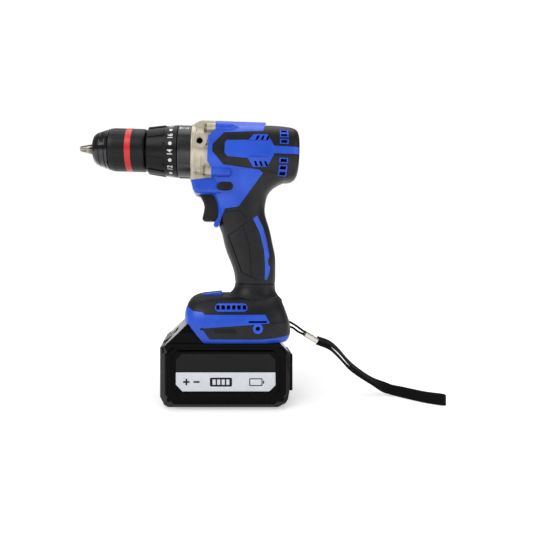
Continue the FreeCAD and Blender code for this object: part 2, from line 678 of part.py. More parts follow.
def jaw():
    """One jaw at the top: a round bar in its inclined hole, ground to a 120 degree wedge at the tip."""
    bar = jaw_hole(JAW_RADIUS).common(rod_x(40.0, TIP_X, TIP_X + JAW_LENGTH))
    half = math.radians(60.0)
    wedge_points = [Vector(TIP_X - 5, 0, 0)]
    wedge_points += [Vector(TIP_X - 5, 40 * math.sin(a), 40 * math.cos(a)) for a in (-half, -half / 2, 0, half / 2, half)]
    wedge = Part.Face(Part.makePolygon(wedge_points + wedge_points[:1])).extrude(Vector(60, 0, 0))
    wedge.translate(Vector(0, 0, 0.12))
    bar = bar.common(wedge)
    cone = Part.makeCone(JAW_TIP_RADIUS, JAW_CONE_RADIUS, JAW_CONE_LENGTH, Vector(TIP_X, 0, 0), X_AXIS)
    bar = bar.common(cone.fuse(rod_x(13.2, TIP_X + JAW_CONE_LENGTH, -40.0)))
    return bar.cut(rod_x(BIT_RADIUS, TIP_X - 1, TIP_X + GRIP_LENGTH + 4))


# ---------------------------------------------------------------- motor
def stator():
    """Laminated ring with six teeth."""
    ring = tube_x(STATOR_RADIUS, STATOR_RADIUS - 3.6, STATOR_FRONT, STATOR_FRONT + STATOR_LENGTH)
    tooth = block(STATOR_FRONT, STATOR_FRONT + STATOR_LENGTH, -2.4, 2.4, STATOR_BORE, STATOR_RADIUS - 2)
    shoe = tube_x(STATOR_BORE + 1.6, STATOR_BORE, STATOR_FRONT, STATOR_FRONT + STATOR_LENGTH)
    shoe = shoe.common(block(STATOR_FRONT, STATOR_FRONT + STATOR_LENGTH, -5.4, 5.4, 0, 40))
    teeth = []
    for part in (tooth, shoe):
        teeth += around_x(part, 6)
    bore = rod_x(STATOR_BORE, STATOR_FRONT - 1, STATOR_FRONT + STATOR_LENGTH + 1)
    return fused([ring] + teeth).cut(bore)


def windings():
    """One copper coil round each stator tooth."""
    x0, x1 = STATOR_FRONT - 2.4, STATOR_FRONT + STATOR_LENGTH + 2.4
    low, high = STATOR_BORE + 2.0, STATOR_RADIUS - 4.6
    coil = block(x0, x1, -4.2, 4.2, low, high)
    coil = coil.cut(block(x0 + 2.3, x1 - 2.3, -2.5, 2.5, low - 1, high + 1))
    return Part.Compound(around_x(coil, 6))


def motor_bearings():
    front = tube_x(8.0, SHAFT_RADIUS + RUN_GAP, MOTOR_PLATE_X + 2.6, MOTOR_PLATE_X + 7.6)
    rear = tube_x(8.0, SHAFT_RADIUS + RUN_GAP, 82.0, 87.0)
    return Part.Compound([front, rear])


def motor_plate():
    """Plate that closes the gear case and holds the front motor bearing."""
    plate = rod_x(CASE_BORE - 0.05, MOTOR_PLATE_X, MOTOR_PLATE_X + 2.6)
    hub = rod_x(10.2, MOTOR_PLATE_X + 2.6, MOTOR_PLATE_X + 7.8)
    plate = plate.fuse(hub).cut(rod_x(8.0, MOTOR_PLATE_X + 2.6, MOTOR_PLATE_X + 9))
    fork_way = block(MOTOR_PLATE_X - 1, MOTOR_PLATE_X + 4, -3.4, 3.4, CASE_BORE - 3.2, 40)
    return plate.cut(rod_x(SHAFT_RADIUS + 0.6, MOTOR_PLATE_X - 1, MOTOR_PLATE_X + 4)).cut(fork_way)


def rotor():
    """Shaft and magnet core."""
    shaft = rod_x(SHAFT_RADIUS, STAGE_A_X + GEAR_WIDTH + 1.0, 88.0)
    core = rod_x(ROTOR_RADIUS, STATOR_FRONT, STATOR_FRONT + STATOR_LENGTH)
    return shaft.fuse(core)


def motor_pinion():
    """Sun gear of the input stage, on the end of the motor shaft."""
    gear = spur_gear(SUN_TEETH, STAGE_A_X + 0.1, STAGE_A_X + GEAR_WIDTH + 0.6)
    hub = rod_x(4.0, STAGE_A_X + GEAR_WIDTH + 0.6, STAGE_A_X + GEAR_WIDTH + 3.0)
    return gear.fuse(hub).cut(rod_x(SHAFT_RADIUS, STAGE_A_X + GEAR_WIDTH + 1.0, 30.0))


def motor_fan():
    hub = tube_x(6.0, SHAFT_RADIUS, FAN_X, FAN_X + 8.0)
    disc = tube_x(FAN_RADIUS, 5.5, FAN_X, FAN_X + 1.4)
    blade = block(FAN_X + 1.2, FAN_X + 7.4, -0.7, 0.7, 7.2, FAN_RADIUS - 0.6)
    blade.rotate(Vector(0, 0, 8), X_AXIS, 18)
    blades = [b.common(rod_x(FAN_RADIUS - 0.2, FAN_X, FAN_X + 9)) for b in around_x(blade, 11)]
    return fused([hub, disc] + blades)


# ---------------------------------------------------------------- shells
def barrel(inset=0.0):
    """Motor barrel in the head frame, inset from its outer surface."""
    sections = [
        (BARREL_FRONT, -0.6, 0.8, 0.6), (24.0, 0.0, 0.0, 0.0), (58.0, 0.0, 0.0, 0.0),
        (82.0, 0.3, 0.4, 0.1), (REAR_X - 6.6, 0.9, 1.2, 0.5), (REAR_X - 2.4, 2.0, 2.6, 1.3),
        (REAR_X, 5.0, 5.8, 3.8),
    ]
    wires = []
    middle = (BARREL_FRONT + REAR_X) / 2
    for x, side, top, bottom in sections:
        at = x - inset * (x - middle) / (REAR_X - middle) if x > middle else x
        high = BARREL_TOP - max(top, 0.0) - inset
        low = BARREL_BOTTOM - bottom - inset
        centre = (high - low) / 2

        def place(a, b, at=at, centre=centre):
            return Vector(at, a, centre + b)

        wires.append(oval(BARREL_HALF_WIDTH - max(side, 0.0) - inset, (high + low) / 2, BARREL_POWER, place))
    return Part.makeLoft(wires, True, False)


def upright_loft(sections, power, inset=0.0, squeeze=False):
    """A loft through horizontal sections (height, front, rear, half width)."""
    low, high = sections[0][0], sections[-1][0]
    middle, half = (low + high) / 2, (high - low) / 2
    wires = []
    for height, front, rear, half_width in sections:
        at = middle + (height - middle) * (1 - inset / half) if squeeze else height
        centre = (front + rear) / 2

        def place(a, b, at=at, centre=centre):
            return Vector(centre + a, b, at)

        wires.append(oval((rear - front) / 2 - inset, half_width - inset, power, place))
    return Part.makeLoft(wires, True, False)


def trigger_housing(inset=0.0):
    outline = grown(NOSE_OUTLINE, -inset) if inset else NOSE_OUTLINE
    half = NOSE_HALF_WIDTH - inset
    solid = prism(outline, -half, half)
    edges = [e for e in solid.Edges if e.BoundBox.YLength < 0.1 and e.BoundBox.ZMax < 204 and e.BoundBox.XMax < 45.5]
    return solid.makeFillet(max(0.5, NOSE_EDGE - inset), edges)


def top_ridge():
    """Blue ridge over the barrel that carries the speed selector, in the head frame."""
    side = prism([
        (RIDGE_START, 12.0), (RIDGE_START, RIDGE_TOP), (RIDGE_END, RIDGE_TOP - 0.3),
        (RIDGE_END + RIDGE_SLOPE, RIDGE_TOP - RIDGE_SLOPE), (RIDGE_END + RIDGE_SLOPE, 12.0),
    ], -22.0, 22.0)
    points = [
        (-RIDGE_HALF_WIDTH - RIDGE_SLOPE, RIDGE_TOP - RIDGE_SLOPE), (-RIDGE_HALF_WIDTH, RIDGE_TOP),
        (RIDGE_HALF_WIDTH, RIDGE_TOP), (RIDGE_HALF_WIDTH + RIDGE_SLOPE, RIDGE_TOP - RIDGE_SLOPE),
        (RIDGE_HALF_WIDTH + RIDGE_SLOPE, 12.0), (-RIDGE_HALF_WIDTH - RIDGE_SLOPE, 12.0),
    ]
    wire = Part.makePolygon([Vector(RIDGE_START - 2, y, z) for y, z in points + points[:1]])
    return side.common(Part.Face(wire).extrude(Vector(RIDGE_END, 0, 0)))


def shell_bosses():
    """The shell's own screw bosses behind the case's, with sloping rear ends."""
    made = []
    for y, z in BOSSES:
        start = boss_joint(z) + (0.0 if z > 0 else SEAM)
        boss = rod_x(SHELL_BOSS_RADIUS, start, SHELL_BOSS_END, y, z)
        slope = SHELL_BOSS_SLOPES[1 if z > 0 else 0]
        cone = Part.makeCone(SHELL_BOSS_RADIUS, 1.2, slope, Vector(SHELL_BOSS_END, y, z), X_AXIS)
        half = SHELL_BOSS_RADIUS - WEB_STEP
        web = block(start, SHELL_BOSS_END, 0, math.hypot(y, z), -half, half)
        web.rotate(Vector(0, 0, 0), X_AXIS, math.degrees(math.atan2(z, y)))
        made += [boss, cone, web]
    return made


def half_space(outline=None):
    return block(-FAR, FAR, -FAR, 0.0, -FAR, 2 * FAR)


def outer_form(inset=0.0):
    """The left half of the tool's outside, without ridge and bosses."""
    head = to_tool(barrel(inset))
    grip = upright_loft(GRIP_SECTIONS, GRIP_POWER, inset)
    foot = upright_loft(FOOT_SECTIONS, FOOT_POWER, inset, squeeze=True)
    whole = head.fuse([grip, foot, trigger_housing(inset)])
    return whole.common(half_space())


# Lip of the hard shell that curls out below the trigger.
GUARD_LIP = [
    (22.4, 156.9), (21.8, 155.6), (22.3, 153.8), (23.8, 153.2), (25.9, 153.5), (27.9, 159.9), (31.4, 169.6),
    (27.6, 170.5), (25.4, 161.5),
]
GUARD_LIP_HALF_WIDTH = 13.6

# Side outlines of the overmoulded regions, in the tool frame.
GRIP_REGION = [
    (18.0, 150.0), (26.2, 153.4), (28.2, 159.8), (31.8, 169.4), (43.4, 170.8), (64.6, 199.6),
    (61.4, 202.4), (30.0, 206.6), (20.6, 217.4), (20.9, 223.6), (31.0, 234.0), (64.6, 235.6),
    (72.6, 256.0), (120.0, 256.0), (120.0, NECK_SEAM), (18.0, NECK_SEAM),
]
BADGE_OUTLINE = [
    (31.0, 216.4), (31.4, 225.0), (33.4, 227.0), (51.8, 227.2), (56.4, 232.4), (67.9, 232.4),
    (73.6, 221.9), (120.0, 220.5), (120.0, 214.5), (73.9, 215.6), (67.9, 204.4), (55.6, 204.4),
    (50.8, 211.6), (33.4, 213.2),
]
ACCENT_OUTLINE = [
    (56.3, 160.4), (60.1, 163.2), (65.6, 152.6), (69.4, 139.0), (71.2, 127.4), (69.8, 123.6),
    (70.0, 120.6), (72.0, 117.4), (70.8, 111.6), (68.6, 106.4), (66.6, 106.2), (67.0, 118.0),
    (66.2, 132.0), (62.6, 147.0),
]
FOOT_REGION = [
    (-8.0, 87.6), (4.4, 80.9), (12.6, 80.4), (14.6, 78.3), (65.7, 78.3), (69.2, 71.2), (120.0, 74.0),
    (120.0, NECK_SEAM), (-8.0, NECK_SEAM),
]
BUMPER_REGION = [
    (11.9, 67.0), (18.5, 57.9), (62.2, 57.9), (84.0, 60.0), (120.0, 61.0), (120.0, 74.0), (69.2, 71.2),
]
PILL = (36.8, 84.0, 28.0, 6.4)      # bezel of the foot's vent: centre x, z, length, height
VENT_WINDOWS = [                    # rear vents, in the head frame: (low z, high z)
    (10.0, 17.4), (4.0, 8.3), (-12.2, -7.8), (-22.4, -13.8),
]
VENT_X = 82.2
VENT_HALF = 3.8


def slot_outline(x, z, length, height, steps=5):
    """A slot with round ends."""
    half = length / 2 - height / 2
    points = []
    for centre, start in ((x + half, -90.0), (x - half, 90.0)):
        for i in range(steps + 1):
            a = math.radians(start + 180.0 * i / steps)
            points.append((centre + height / 2 * math.cos(a), z + height / 2 * math.sin(a)))
    return points


def vent_window(low, high, grow=0.0):
    return to_tool(block(VENT_X - VENT_HALF - grow, VENT_X + VENT_HALF + grow, -FAR / 2, 0, low - grow, high + grow))


def grip_windows(grow=0.0):
    """Where the hard shell shows through the grip's overmould."""
    windows = [prism(grown(BADGE_OUTLINE, grow), -FAR / 2, 0.0), prism(grown(ACCENT_OUTLINE, grow), -FAR / 2, 0.0)]
    return windows + [vent_window(low, high, grow) for low, high in VENT_WINDOWS]


GROOVE_WIDTH = 0.8
GROOVE_DEPTH = 0.6
GRIP_GROOVES = [                    # lines pressed into the grip's overmould
    [(34.9, 145.5), (51.2, 157.2)],
    [(34.9, 145.5), (46.8, 112.9), (59.9, 106.6)],
    [(47.5, 154.2), (53.0, 137.5), (55.2, 109.2)],
    [(33.1, 166.5), (45.1, 167.3), (50.5, 160.1)],
]
PLATE_LINES = [                     # lines along the badge plate
    [(51.8, 226.9), (68.2, 226.4)],
    [(50.8, 213.1), (68.2, 212.4)],
]


def line_prisms(line, width):
    """Thin blocks through the left half along a line of points."""
    made = []
    for (x0, z0), (x1, z1) in zip(line, line[1:]):
        length = math.hypot(x1 - x0, z1 - z0)
        side = ((z0 - z1) / length * width / 2, (x1 - x0) / length * width / 2)
        corners = [(x0, z0, 1), (x1, z1, 1), (x1, z1, -1), (x0, z0, -1)]
        made.append(prism([(x + side[0] * s, z + side[1] * s) for x, z, s in corners], -FAR / 2, 0.0))
    return made


def pressed_lines(lines, width, under):
    """What is cut away to press lines into a surface, down to the form that lies under it."""
    made = []
    for line in lines:
        made += [p.cut(under) for p in line_prisms(line, width)]
    return made


def overmoulds(skin):
    """(grip, foot, bumper) pieces of the left half."""
    grip = skin.common(prism(grown(GRIP_REGION, -SEAM), -FAR / 2, 0.0))
    grip = grip.cut(Part.Compound(grip_windows(SEAM)))
    grip_under = upright_loft(GRIP_SECTIONS, GRIP_POWER, GROOVE_DEPTH)
    for groove in pressed_lines(GRIP_GROOVES, GROOVE_WIDTH, grip_under):
        grip = grip.cut(groove)
    foot = skin.common(prism(grown(FOOT_REGION, -SEAM), -FAR / 2, 0.0))
    neck = block(0.0, FAR, -FAR / 2, 0.0, NECK_SEAM - GROOVE_WIDTH - SEAM, NECK_SEAM)
    foot = foot.cut(neck.cut(upright_loft(GRIP_SECTIONS, GRIP_POWER, GROOVE_DEPTH)))
    foot = foot.cut(prism(grown(slot_outline(*PILL), SEAM), -FAR / 2, 0.0)).cut(lamp_seat(0.1))
    bumper = skin.common(prism(grown(BUMPER_REGION, -SEAM), -FAR / 2, 0.0))
    bumper = bumper.cut(rod_y(HOOK_BOSS_RADIUS + SEAM, HOOK_X, HOOK_Z, -FAR / 2, 0.0)).cut(strap_pocket(0.0))
    return [grip, foot, bumper]


def recesses(skin):
    """What the overmould takes away from the hard shell."""
    grip = skin.common(prism(GRIP_REGION, -FAR / 2, 0.0)).cut(Part.Compound(grip_windows()))
    foot = skin.common(prism(FOOT_REGION, -FAR / 2, 0.0)).cut(prism(slot_outline(*PILL), -FAR / 2, 0.0))
    bumper = skin.common(prism(BUMPER_REGION, -FAR / 2, 0.0))
    bumper = bumper.cut(rod_y(HOOK_BOSS_RADIUS, HOOK_X, HOOK_Z, -FAR / 2, 0.0))
    return [grip, foot, bumper]


HOOK_X = 59.1                       # threaded hole for a belt hook
HOOK_Z = 66.8
HOOK_BOSS_RADIUS = 4.3
HOOK_RADIUS = 1.9
HOOK_DEPTH = 9.0
HOOK_FLOOR = -33.2 + HOOK_DEPTH     # the blind end of the hole on the left side
HOOK_SLOT = (59.1, 72.4, 16.0, 1.8)
POSTS = [(56.0, 176.5), (58.0, 128.0), (9.5, 188.8), (12.0, 74.0), (80.0, 82.0)]
POST_RADIUS = 3.4
POST_SCREW_RADIUS = 1.5


def lamp_seat(grow=0.0):
    """The work light's place on the foot's front shoulder."""
    seat = block(-9.0 - grow, 9.0 + grow, -8.2 - grow, 8.2 + grow, -6.0, 10.0)
    seat.rotate(Vector(0, 0, 0), Y_AXIS, LAMP_TILT)
    seat.translate(Vector(LAMP_X, 0, LAMP_Z))
    return seat


LAMP_X = 20.8
LAMP_Z = 91.2
LAMP_TILT = -6.0


def strap_pocket(grow=0.0):
    pocket = block(STRAP_PIN_X - 4.2 - grow, 96.0, -4.0 - grow, 4.0 + grow, 60.4 - grow, 69.2 + grow)
    return pocket


def posts(inner):
    """Screw posts on the inside of the left shell."""
    made = [rod_y(POST_RADIUS, x, z, -40.0, 0.0) for x, z in POSTS]
    return [p.common(inner) for p in made]


def trigger_outline(reach=0.0):
    """Side outline of the trigger. reach extends its rear for the pocket that it slides in."""
    return [
        (7.6, TRIGGER_TOP), (10.3, 180.2), (12.6, 175.6), (13.6, 171.0), (12.9, 166.4), (11.9, 162.4),
        (11.7, 160.2), (12.7, 158.8), (14.6, TRIGGER_BOTTOM), (25.8 + reach, TRIGGER_BOTTOM),
        (33.0 + reach, 163.0), (33.0 + reach, TRIGGER_TOP),
    ]


def trigger_piece():
    solid = prism(trigger_outline(), -TRIGGER_HALF_WIDTH, TRIGGER_HALF_WIDTH)
    front = [
        e for e in solid.Edges
        if e.BoundBox.YLength < 0.1 and e.BoundBox.XMax < 14.8 and e.BoundBox.ZMax < TRIGGER_TOP + 0.1
    ]
    solid = solid.makeFillet(2.2, front)
    hollow = block(22.0, 34.0, -5.6, 5.6, 165.0, 180.0)
    return solid.cut(hollow)


def trigger_pocket():
    """Room in the shells for the trigger and its travel."""
    gap = SLIDE_GAP + 0.1
    outline = grown(trigger_outline(TRIGGER_TRAVEL), gap)
    return prism(outline, -TRIGGER_HALF_WIDTH - gap, TRIGGER_HALF_WIDTH + gap)


def direction_outline(grow=0.0):
    return slot_outline(DIRECTION_X, DIRECTION_Z, DIRECTION_LENGTH + 2 * grow, DIRECTION_HEIGHT + 2 * grow)


def direction_piece():
    """Push-through forward and reverse button."""
    reach = NOSE_HALF_WIDTH + DIRECTION_PROUD
    solid = prism(direction_outline(), -reach, reach)
    ends = [e for e in solid.Edges if e.BoundBox.YLength < 0.01]
    solid = solid.makeFillet(0.8, ends)
    waist = block(DIRECTION_X - 20, DIRECTION_X + 20, -11.0, 11.0, DIRECTION_Z - 10, DIRECTION_Z - 1.2)
    return solid.cut(waist)


def snout_profile(grow=0.0, reach=0.0):
    """Side outline of the battery's raised front, which stops against the foot. reach runs it out to the front."""
    start = PACK_FRONT + 2.4 - reach
    rise = 0.8 * reach
    return [
        (start, PACK_TOP - 8.0), (start, 50.4 + grow + rise), (-3.8, SNOUT_TOP - 2.2 + grow + rise),
        (-1.4 + grow, SNOUT_TOP + grow + rise), (0.2 + grow * 1.4, SNOUT_TOP - 0.6 + grow),
        (13.0 + grow * 1.4, PACK_TOP + 0.2), (13.0 + grow * 1.4, PACK_TOP - 8.0),
    ]


def rail_way():
    """The T-shaped way in the foot for the battery's rails, open to the front."""
    gap = SLIDE_GAP
    neck = block(-20.0, RAIL_END + 2.0, -RAIL_NECK - gap, RAIL_NECK + gap, FOOT_BOTTOM - 2.0, RAIL_TOP)
    head = block(-20.0, RAIL_END + 2.0, -RAIL_HEAD - gap, RAIL_HEAD + gap, RAIL_HEAD_BOTTOM - gap, RAIL_TOP + gap)
    snout = prism(snout_profile(SLIDE_GAP), -FAR / 2, FAR / 2)
    below = prism([(-30.0, 40.0), (-30.0, SNOUT_TOP + 0.3), (-2.0, SNOUT_TOP + 0.3), (0.6, 68.9), (13.4, 40.0)],
                  -FAR / 2, FAR / 2)
    return neck.fuse([head, snout, below])


def shells():
    """Both hard shells and all the overmoulds."""
    outer = outer_form()
    under = outer_form(SKIN)
    skin = outer.cut(under)
    cavity = outer_form(SKIN + WALL)
    ridge = to_tool(fused([top_ridge()] + shell_bosses())).common(half_space())
    soft = overmoulds(skin)

    hard = outer
    for recess in recesses(skin):
        hard = hard.cut(recess)
    keep_blue = ridge.cut(to_tool(rod_x(BARREL_TOP - SKIN - WALL, BARREL_FRONT, FAR)))
    keep_blue = keep_blue.cut(prism(GRIP_REGION, -FAR / 2, 0.0))
    hard = hard.fuse(keep_blue)
    hard = hard.cut(cavity)
    hard = hard.cut(to_tool(rod_x(STATOR_RADIUS + MOTOR_GAP, BARREL_FRONT - 2, REAR_X - 5.0)))

    case_room = rod_x(CASE_RADIUS + 1.0, -20.0, CASE_JOINT)
    case_room = case_room.fuse(rod_x(CASE_SPIGOT, CASE_JOINT - 1, CASE_REAR + 0.2))
    hard = hard.cut(to_tool(case_room))
    hard = hard.cut(to_tool(prism(CASE_REGION, -60.0, 60.0)))
    for y, z in BOSSES:
        if y < 0:
            hard = hard.cut(to_tool(case_boss(y, z, CASE_BOSS_RADIUS + SEAM, 10.0, boss_joint(z))))
    hard = hard.fuse(fused(posts(under)))
    hard = hard.fuse(under.common(rod_y(HOOK_BOSS_RADIUS, HOOK_X, HOOK_Z, -FAR / 2, HOOK_FLOOR + 1.6)))
    hard = hard.fuse(prism(GUARD_LIP, -GUARD_LIP_HALF_WIDTH, 0.0))
    for line in pressed_lines(PLATE_LINES, 0.5, to_tool(barrel(0.4))):
        hard = hard.cut(line)

    hard = hard.cut(rail_way()).cut(trigger_pocket())
    soft = [piece.cut(trigger_pocket()).cut(rail_way()) for piece in soft]
    hard = hard.cut(prism(direction_outline(SLIDE_GAP), -60.0, 0.0))
    hard = hard.cut(selector_room())
    for y, z in BOSSES:
        if y < 0:
            hard = hard.cut(to_tool(rod_x(SCREW_RADIUS, SKIRT_REAR_X - 1, SHELL_BOSS_END - 4, y, z)))
    hard = hard.cut(Part.Compound(vent_slots())).cut(lamp_seat(0.0))
    hard = hard.cut(rod_y(HOOK_RADIUS, HOOK_X, HOOK_Z, -FAR / 2, HOOK_FLOOR))
    hook_slot = prism(slot_outline(*HOOK_SLOT), -FAR / 2, -29.4)
    hard = hard.cut(hook_slot).cut(strap_pocket())
    soft[2] = soft[2].cut(hook_slot)
    hard = hard.cut(rod_y(STRAP_PIN_RADIUS, STRAP_PIN_X, STRAP_PIN_Z, -8.0, 0.0))
    for x, z in POSTS:
        hard = hard.cut(rod_y(POST_SCREW_RADIUS, x, z, -14.0, 1.0))
    return hard, soft


CASE_REGION = [                     # side outline of the room that the gear case takes, in the head frame
    (-5.0, SKIRT_FRONT - 1.1), (CASE_FRONT, SKIRT_FRONT - SEAM), (SKIRT_REAR_X + SEAM, SKIRT_REAR - SEAM),
    (SKIRT_REAR_X + SEAM, -16.8), (16.7, -12.2), (16.9, 9.8), (CASE_JOINT, 14.4),
    (CASE_JOINT, 40.0), (-5.0, 40.0),
]
SELECTOR_X = 37.0
SELECTOR_HALF = 6.0


def selector_room():
    """Way for the speed selector through the ridge, and for its fork inside the shell."""
    way = block(SELECTOR_X - SELECTOR_HALF - 0.4, SELECTOR_X + SELECTOR_HALF + SHIFT_TRAVEL + 0.4,
                -4.4, 4.4, RIDGE_TOP - 1.8, RIDGE_TOP + 3)
    stem = block(SELECTOR_X - 2.4, SELECTOR_X + 2.4 + SHIFT_TRAVEL, -3.0, 3.0, 20.0, RIDGE_TOP + 1)
    fork = block(CASE_JOINT - 1, SELECTOR_X + 3.0 + SHIFT_TRAVEL + 0.4, -3.0, 3.0, 20.0, FORK_TOP + 0.4)
    return to_tool(fused([way, stem, fork]))


FORK_BOTTOM = 21.2
FORK_TOP = 23.4


def speed_selector():
    """Slider on the ridge, in one piece with the fork that moves the sliding ring gear."""
    plate = block(SELECTOR_X - SELECTOR_HALF, SELECTOR_X + SELECTOR_HALF, -4.0, 4.0, RIDGE_TOP - 1.5, RIDGE_TOP - 0.1)
    knob = block(SELECTOR_X - 1.4, SELECTOR_X + 1.4, -3.4, 3.4, RIDGE_TOP - 0.5, RIDGE_TOP + 1.5)
    knob = knob.makeFillet(0.6, [e for e in knob.Edges if e.BoundBox.ZMin > RIDGE_TOP + 1])
    stem = block(SELECTOR_X - 2.0, SELECTOR_X + 2.0, -2.6, 2.6, FORK_BOTTOM, RIDGE_TOP - 1.0)
    groove_middle = SLIDING_RING_X + SLIDING_RING_WIDTH - 3.0
    bar = block(groove_middle - 1.0, SELECTOR_X + 2.0, -2.6, 2.6, FORK_BOTTOM, FORK_TOP)
    leg = block(groove_middle - 1.0, groove_middle + 1.0, -2.6, 2.6, RING_OUTER - 1.0, FORK_BOTTOM + 1)
    return fused([plate, knob, stem, bar, leg])


def vent_slots():
    """Air slots: rear windows, badge plate grilles and the foot's vent."""
    slots = []
    for low, high in VENT_WINDOWS:
        count = 2 if high - low > 6 else 1
        step = (high - low) / count
        for i in range(count):
            z0 = low + step * i + 0.8
            slots.append(to_tool(block(VENT_X - 2.7, VENT_X + 2.7, -FAR / 2, -10, z0, z0 + step - 1.6)))
    for up in (1, -1):
        for i in range(3):
            x0 = 57.4 + 4.4 * i if up > 0 else 56.6 + 4.4 * i
            lean = 1.8
            z_in, z_out = -2.2 + up * 9.0, -2.2 + up * 13.0
            outline = [(x0, z_in), (x0 + 2.0, z_in), (x0 + 2.0 + lean, z_out), (x0 + lean, z_out)]
            slots.append(to_tool(prism(outline, -FAR / 2, -10.0)))
    x, z, length, height = PILL
    for i in range(6):
        centre = x + (i - 2.5) * 4.5
        slots.append(block(centre - 1.5, centre + 1.5, -FAR / 2, -10.0, z - height / 2 + 1.5, z + height / 2 - 1.5))
    return slots


def right_shell(left):
    """The right shell is the left one mirrored, with through holes and counterbores for the screws."""
    shell = mirrored(left)
    for x, z in POSTS:
        shell = shell.cut(rod_y(POST_SCREW_RADIUS + 0.2, x, z, -1.0, FAR / 2))
        shell = shell.cut(rod_y(3.0, x, z, POST_HEAD_Y, FAR / 2))
    return shell


POST_HEAD_Y = 7.0


def shell_screws():
    made = []
    for x, z in POSTS:
        shank = rod_y(POST_SCREW_RADIUS, x, z, -12.0, POST_HEAD_Y)
        head = rod_y(2.7, x, z, POST_HEAD_Y, POST_HEAD_Y + 2.2)
        slot_a = block(x - 0.4, x + 0.4, POST_HEAD_Y + 1.2, POST_HEAD_Y + 3, z - 1.8, z + 1.8)
        slot_b = block(x - 1.8, x + 1.8, POST_HEAD_Y + 1.2, POST_HEAD_Y + 3, z - 0.4, z + 0.4)
        made.append(shank.fuse(head).cut(slot_a.fuse(slot_b)))
    return Part.Compound(made)


# ---------------------------------------------------------------- electrical parts in the shells
def trigger_switch():
    body = block(42.0, 62.0, -7.0, 7.0, 160.0, 172.0)
    plunger = rod_x(2.0, 40.0, 43.0, 0, 167.0)
    return body.fuse(plunger)


def trigger_spring():
    rings = []
    for i in range(3):
        rings.append(Part.makeTorus(3.6, 0.5, Vector(35.2 + 1.6 * i, 0, 172.6), X_AXIS))
    return Part.Compound(rings)


def control_board():
    """Motor controller in the foot, with its heat sink and capacitor."""
    board = block(16.0, 66.0, -19.0, 19.0, 68.6, 70.2)
    sink = block(20.0, 46.0, -14.0, 14.0, 70.2, 74.0)
    can = Part.makeCylinder(4.0, 12.0, Vector(56, 0, 70.2), Z_AXIS)
    return fused([board, sink, can])


def terminal_block():
    """Contacts that meet the battery's terminals."""
    body = block(40.0, 58.0, -16.0, 16.0, RAIL_TOP + 0.6, 68.2)
    return body


def lamp_bezel():
    frame = block(-8.9, 8.9, -8.1, 8.1, -3.0, 2.6)
    slope = block(-30, -8.9, -10, 10, -0.4, 5)
    slope.rotate(Vector(-8.9, 0, -0.4), Y_AXIS, 24)
    frame = frame.makeFillet(1.4, [e for e in frame.Edges if e.BoundBox.ZLength > 4])
    window = block(-7.0, 7.0, -6.4, 6.4, -1.6, 4.0)
    return placed_lamp(frame.cut(window))


def lamp_lens():
    lens = block(-7.0, 7.0, -6.4, 6.4, -1.6, 2.2)
    return placed_lamp(lens)


def placed_lamp(shape):
    placed = shape.copy()
    placed.rotate(Vector(0, 0, 0), Y_AXIS, LAMP_TILT)
    placed.translate(Vector(LAMP_X, 0, LAMP_Z))
    return placed


# ---------------------------------------------------------------- battery pack
def pack_form(inset=0.0, c=PACK_CHAMFER):
    """Outer block of the pack with its chamfers."""
    half = PACK_HALF_WIDTH - inset
    x0, x1 = PACK_FRONT + inset, PACK_REAR - inset
    z0, z1 = inset, PACK_TOP - inset
    side = [
        (x0 + c, z0), (x1 - c - 2, z0), (x1 - 1.6, z0 + c), (x1, z0 + c + 6), (x1, z1 - c), (x1 - c, z1),
        (x0 + c, z1), (x0, z1 - c * 0.6), (x0, z0 + c),
    ]
    plan = [
        (x0, -half + 11.0), (x0 + c, -half), (x1 - c * 0.8, -half), (x1, -half + c * 0.8),
        (x1, half - c * 0.8), (x1 - c * 0.8, half), (x0 + c, half), (x0, half - 11.0),
    ]
    front = [
        (-half, z0 + c), (-half + c, z0), (half - c, z0), (half, z0 + c), (half, z1 - c * 0.7),
        (half - c * 0.7, z1), (-half + c * 0.7, z1), (-half, z1 - c * 0.7),
    ]
    solid = prism(side, -FAR / 2, FAR / 2)
    plan_wire = Part.makePolygon([Vector(x, y, -10) for x, y in plan + plan[:1]])
    front_wire = Part.makePolygon([Vector(-FAR, y, z) for y, z in front + front[:1]])
    solid = solid.common(Part.Face(plan_wire).extrude(Vector(0, 0, FAR)))
    return solid.common(Part.Face(front_wire).extrude(Vector(2 * FAR, 0, 0)))


LABEL_OUTLINE = [
    (-10.0, 21.0), (-4.6, 15.2), (68.6, 15.2), (73.8, 20.4), (73.8, 42.4), (68.8, 47.3), (-5.0, 47.3),
    (-10.0, 42.2),
]
LABEL_DEPTH = 0.8


